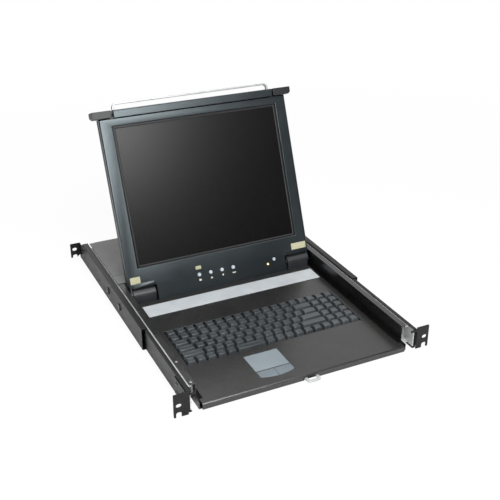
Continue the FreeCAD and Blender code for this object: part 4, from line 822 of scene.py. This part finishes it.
def keycap(bm, left, right, front, back, top):
    look = keyLook
    width, depth = right - left, back - front
    cx, cy = (left + right) / 2, (front + back) / 2
    taper, edge, lean = look["taper"], look["edge"], look["lean"]

    def ring(across, deep, corner, shift, level):
        points = roundedLoop(across, deep, corner)
        return loopOf(bm, [Vector((cx + x, cy + y + shift, level)) * millimetre for x, y in points])

    # inset from the foot, height and the shift that leans the cap
    levels = [(0.0, look["skirt"], 0.0), (0.12, look["skirt"] + 0.5, 0.0),
              (taper - 0.25, top - edge * 1.3, lean - 0.05), (taper, top - edge * 0.45, lean),
              (taper + edge * 0.55, top - edge * 0.08, lean), (taper + edge * 1.3, top, lean)]
    loops = [ring(width - inset * 2, depth - inset * 2, look["corner"] * (0.6 + 0.4 * inset / taper),
                  shift, level) for inset, level, shift in levels]
    flat = levels[-1][0]
    for share in (0.62, 0.3):  # the dished top sinks towards its middle
        sink = look["dish"] * (1 - share * share)
        loops.append(ring((width - flat * 2) * share, (depth - flat * 2) * share, look["corner"] * share,
                          lean, top - sink))
    closedStack(bm, loops)


def keyRow(node, keys):
    # keys: how many pitches from the left, the row and the width of each
    look = keyLook
    bm = bmesh.new()
    for offset, row, units in keys:
        x0 = firstKey.x + offset * look["pitch"]
        y0 = firstKey.y + row * look["pitch"]
        keycap(bm, x0, x0 + units * look["pitch"] - look["gap"], y0, y0 + look["pitch"] - look["gap"],
               keyTops[row])
    standFor(meshPiece(f"{node}_caps", bm, finishes["keyPlastic"]), node)


# the front left key's corner, and the height of each row's tops, which rise towards the back
firstKey, lowest = unitBox("key_row_bottom")
highest = unitBox("key_row_function")[1]
keyTops = [lowest.z + (highest.z - lowest.z) * row / 5 - keyLook["sunk"] for row in range(6)]
for node, (row, keys) in keyRows.items():
    keyRow(node, [(offset, row, units) for offset, units in keys])
keyRow("side_keys", [(column, row, 1) for row in range(len(keyTops)) for column in keyLook["sideColumns"]])

print("studio")
studio = {"floorSize": 14.0, "floorGap": 0.0004, "floorColor": tone(248, 248, 248), "floorRoughness": 0.9,
          "whiteShare": 0.9, "shadowReach": 0.8, "whiteFrom": 2.0,
          "ambient": 0.16, "room": 0.05, "paper": 1.0,
          "backdrop": (0.0, 0.85, 0.53), "roomTo": -0.35, "paperFrom": 0.55}
lamps = {  # place, aim, size and watts
    "overhead": ((-0.25, 1.1, 2.2), (0.0, 0.2, 0.05), (1.8, 1.4), 26.0),
    "frontBox": ((-0.12, -1.12, 1.34), (-0.05, 0.42, 0.22), (1.3, 0.95), 42.0),
    "top": ((0.0, 0.2, 2.4), (0.0, 0.25, 0.0), (1.2, 1.2), 7.0),
}
view = {"azimuth": -25.7, "elevation": 26.6, "distance": 1.81314, "target": (0.10409, 0.44179, -0.0018),
        "lens": 61.27, "sensor": 36.0, "clipEnd": 50.0}


def buildFloor():
    bm = bmesh.new()
    half = studio["floorSize"] / 2
    level = cadBox[0][2] - studio["floorGap"]
    bm.faces.new(loopOf(bm, [(x * half, y * half, level) for x, y in ((-1, -1), (1, -1), (1, 1), (-1, 1))]))
    material, shader, flow, coords = newFinish("paleFloor")
    shader.inputs["Roughness"].default_value = studio["floorRoughness"]
    shader.inputs["Base Color"].default_value = studio["floorColor"]
    path = flow.node("ShaderNodeLightPath")
    glow = flow.node("ShaderNodeEmission", {}, {"Color": white, "Strength": 1.0})
    # to the camera the floor keeps a soft shadow near the unit and fades to plain white further out
    distance = flow.node("ShaderNodeVectorMath", {"operation": "LENGTH"}, {0: coords}, 1)
    plain = flow.node("ShaderNodeMapRange", {"interpolation_type": "SMOOTHSTEP"},
                      {"Value": distance, "From Min": studio["shadowReach"], "From Max": studio["whiteFrom"],
                       "To Min": studio["whiteShare"], "To Max": 1.0})
    share = flow.node("ShaderNodeMixShader", {}, {0: path * plain, 2: glow})
    flow.tree.links.new(shader.outputs[0], share.socket.node.inputs[1])
    output = next(n for n in flow.tree.nodes if n.type == "OUTPUT_MATERIAL")
    join(flow, share, output, "Surface")
    meshPiece("floor", bm, material)


def buildWorld():
    # white to the camera; reflections see a pale backdrop behind and overhead and a dim room in front
    world = bpy.data.worlds.new("studio")
    world.use_nodes = True
    bpy.context.scene.world = world
    flow = Flow(world.node_tree)
    background = next(n for n in world.node_tree.nodes if n.type == "BACKGROUND")
    direct = flow.node("ShaderNodeLightPath", out=0)
    glossy = flow.node("ShaderNodeLightPath", out=3)
    through = flow.node("ShaderNodeLightPath", out=6)
    sky = flow.node("ShaderNodeTexCoord", out=0)
    facing = flow.node("ShaderNodeVectorMath", {"operation": "DOT_PRODUCT"},
                       {0: sky, 1: studio["backdrop"]}, 1)
    mirrored = flow.node("ShaderNodeMapRange", {"interpolation_type": "SMOOTHSTEP"},
                         {"Value": facing, "From Min": studio["roomTo"], "From Max": studio["paperFrom"],
                          "To Min": studio["room"], "To Max": studio["paper"]})
    seen = flow.maths("MAXIMUM", direct, through)
    unseen = glossy * mirrored + (1.0 - glossy) * studio["ambient"]
    background.inputs["Color"].default_value = white
    join(flow, seen + (1.0 - seen) * unseen, background, "Strength")


def areaLight(name, place, aim, size, power):
    data = bpy.data.lights.new(name, "AREA")
    data.shape = "RECTANGLE"
    data.size, data.size_y = size
    data.energy = power
    lamp = bpy.data.objects.new(name, data)
    bpy.context.collection.objects.link(lamp)
    lamp.location = place
    lamp.rotation_euler = (Vector(aim) - Vector(place)).to_track_quat("-Z", "Y").to_euler()


def buildCamera():
    data = bpy.data.cameras.new("camera")
    data.sensor_width = view["sensor"]
    data.lens = view["lens"]
    data.clip_end = view["clipEnd"]
    camera = bpy.data.objects.new("camera", data)
    bpy.context.collection.objects.link(camera)
    turn, rise = math.radians(view["azimuth"]), math.radians(view["elevation"])
    back = Vector((math.sin(turn) * math.cos(rise), -math.cos(turn) * math.cos(rise), math.sin(rise)))
    camera.location = Vector(view["target"]) + back * view["distance"]
    camera.rotation_euler = back.to_track_quat("Z", "Y").to_euler()
    bpy.context.scene.camera = camera


buildFloor()
buildWorld()
for name, (place, aim, size, power) in lamps.items():
    areaLight(name, place, aim, size, power)
buildCamera()
bpy.context.scene.view_settings.view_transform = "Standard"

print("done")
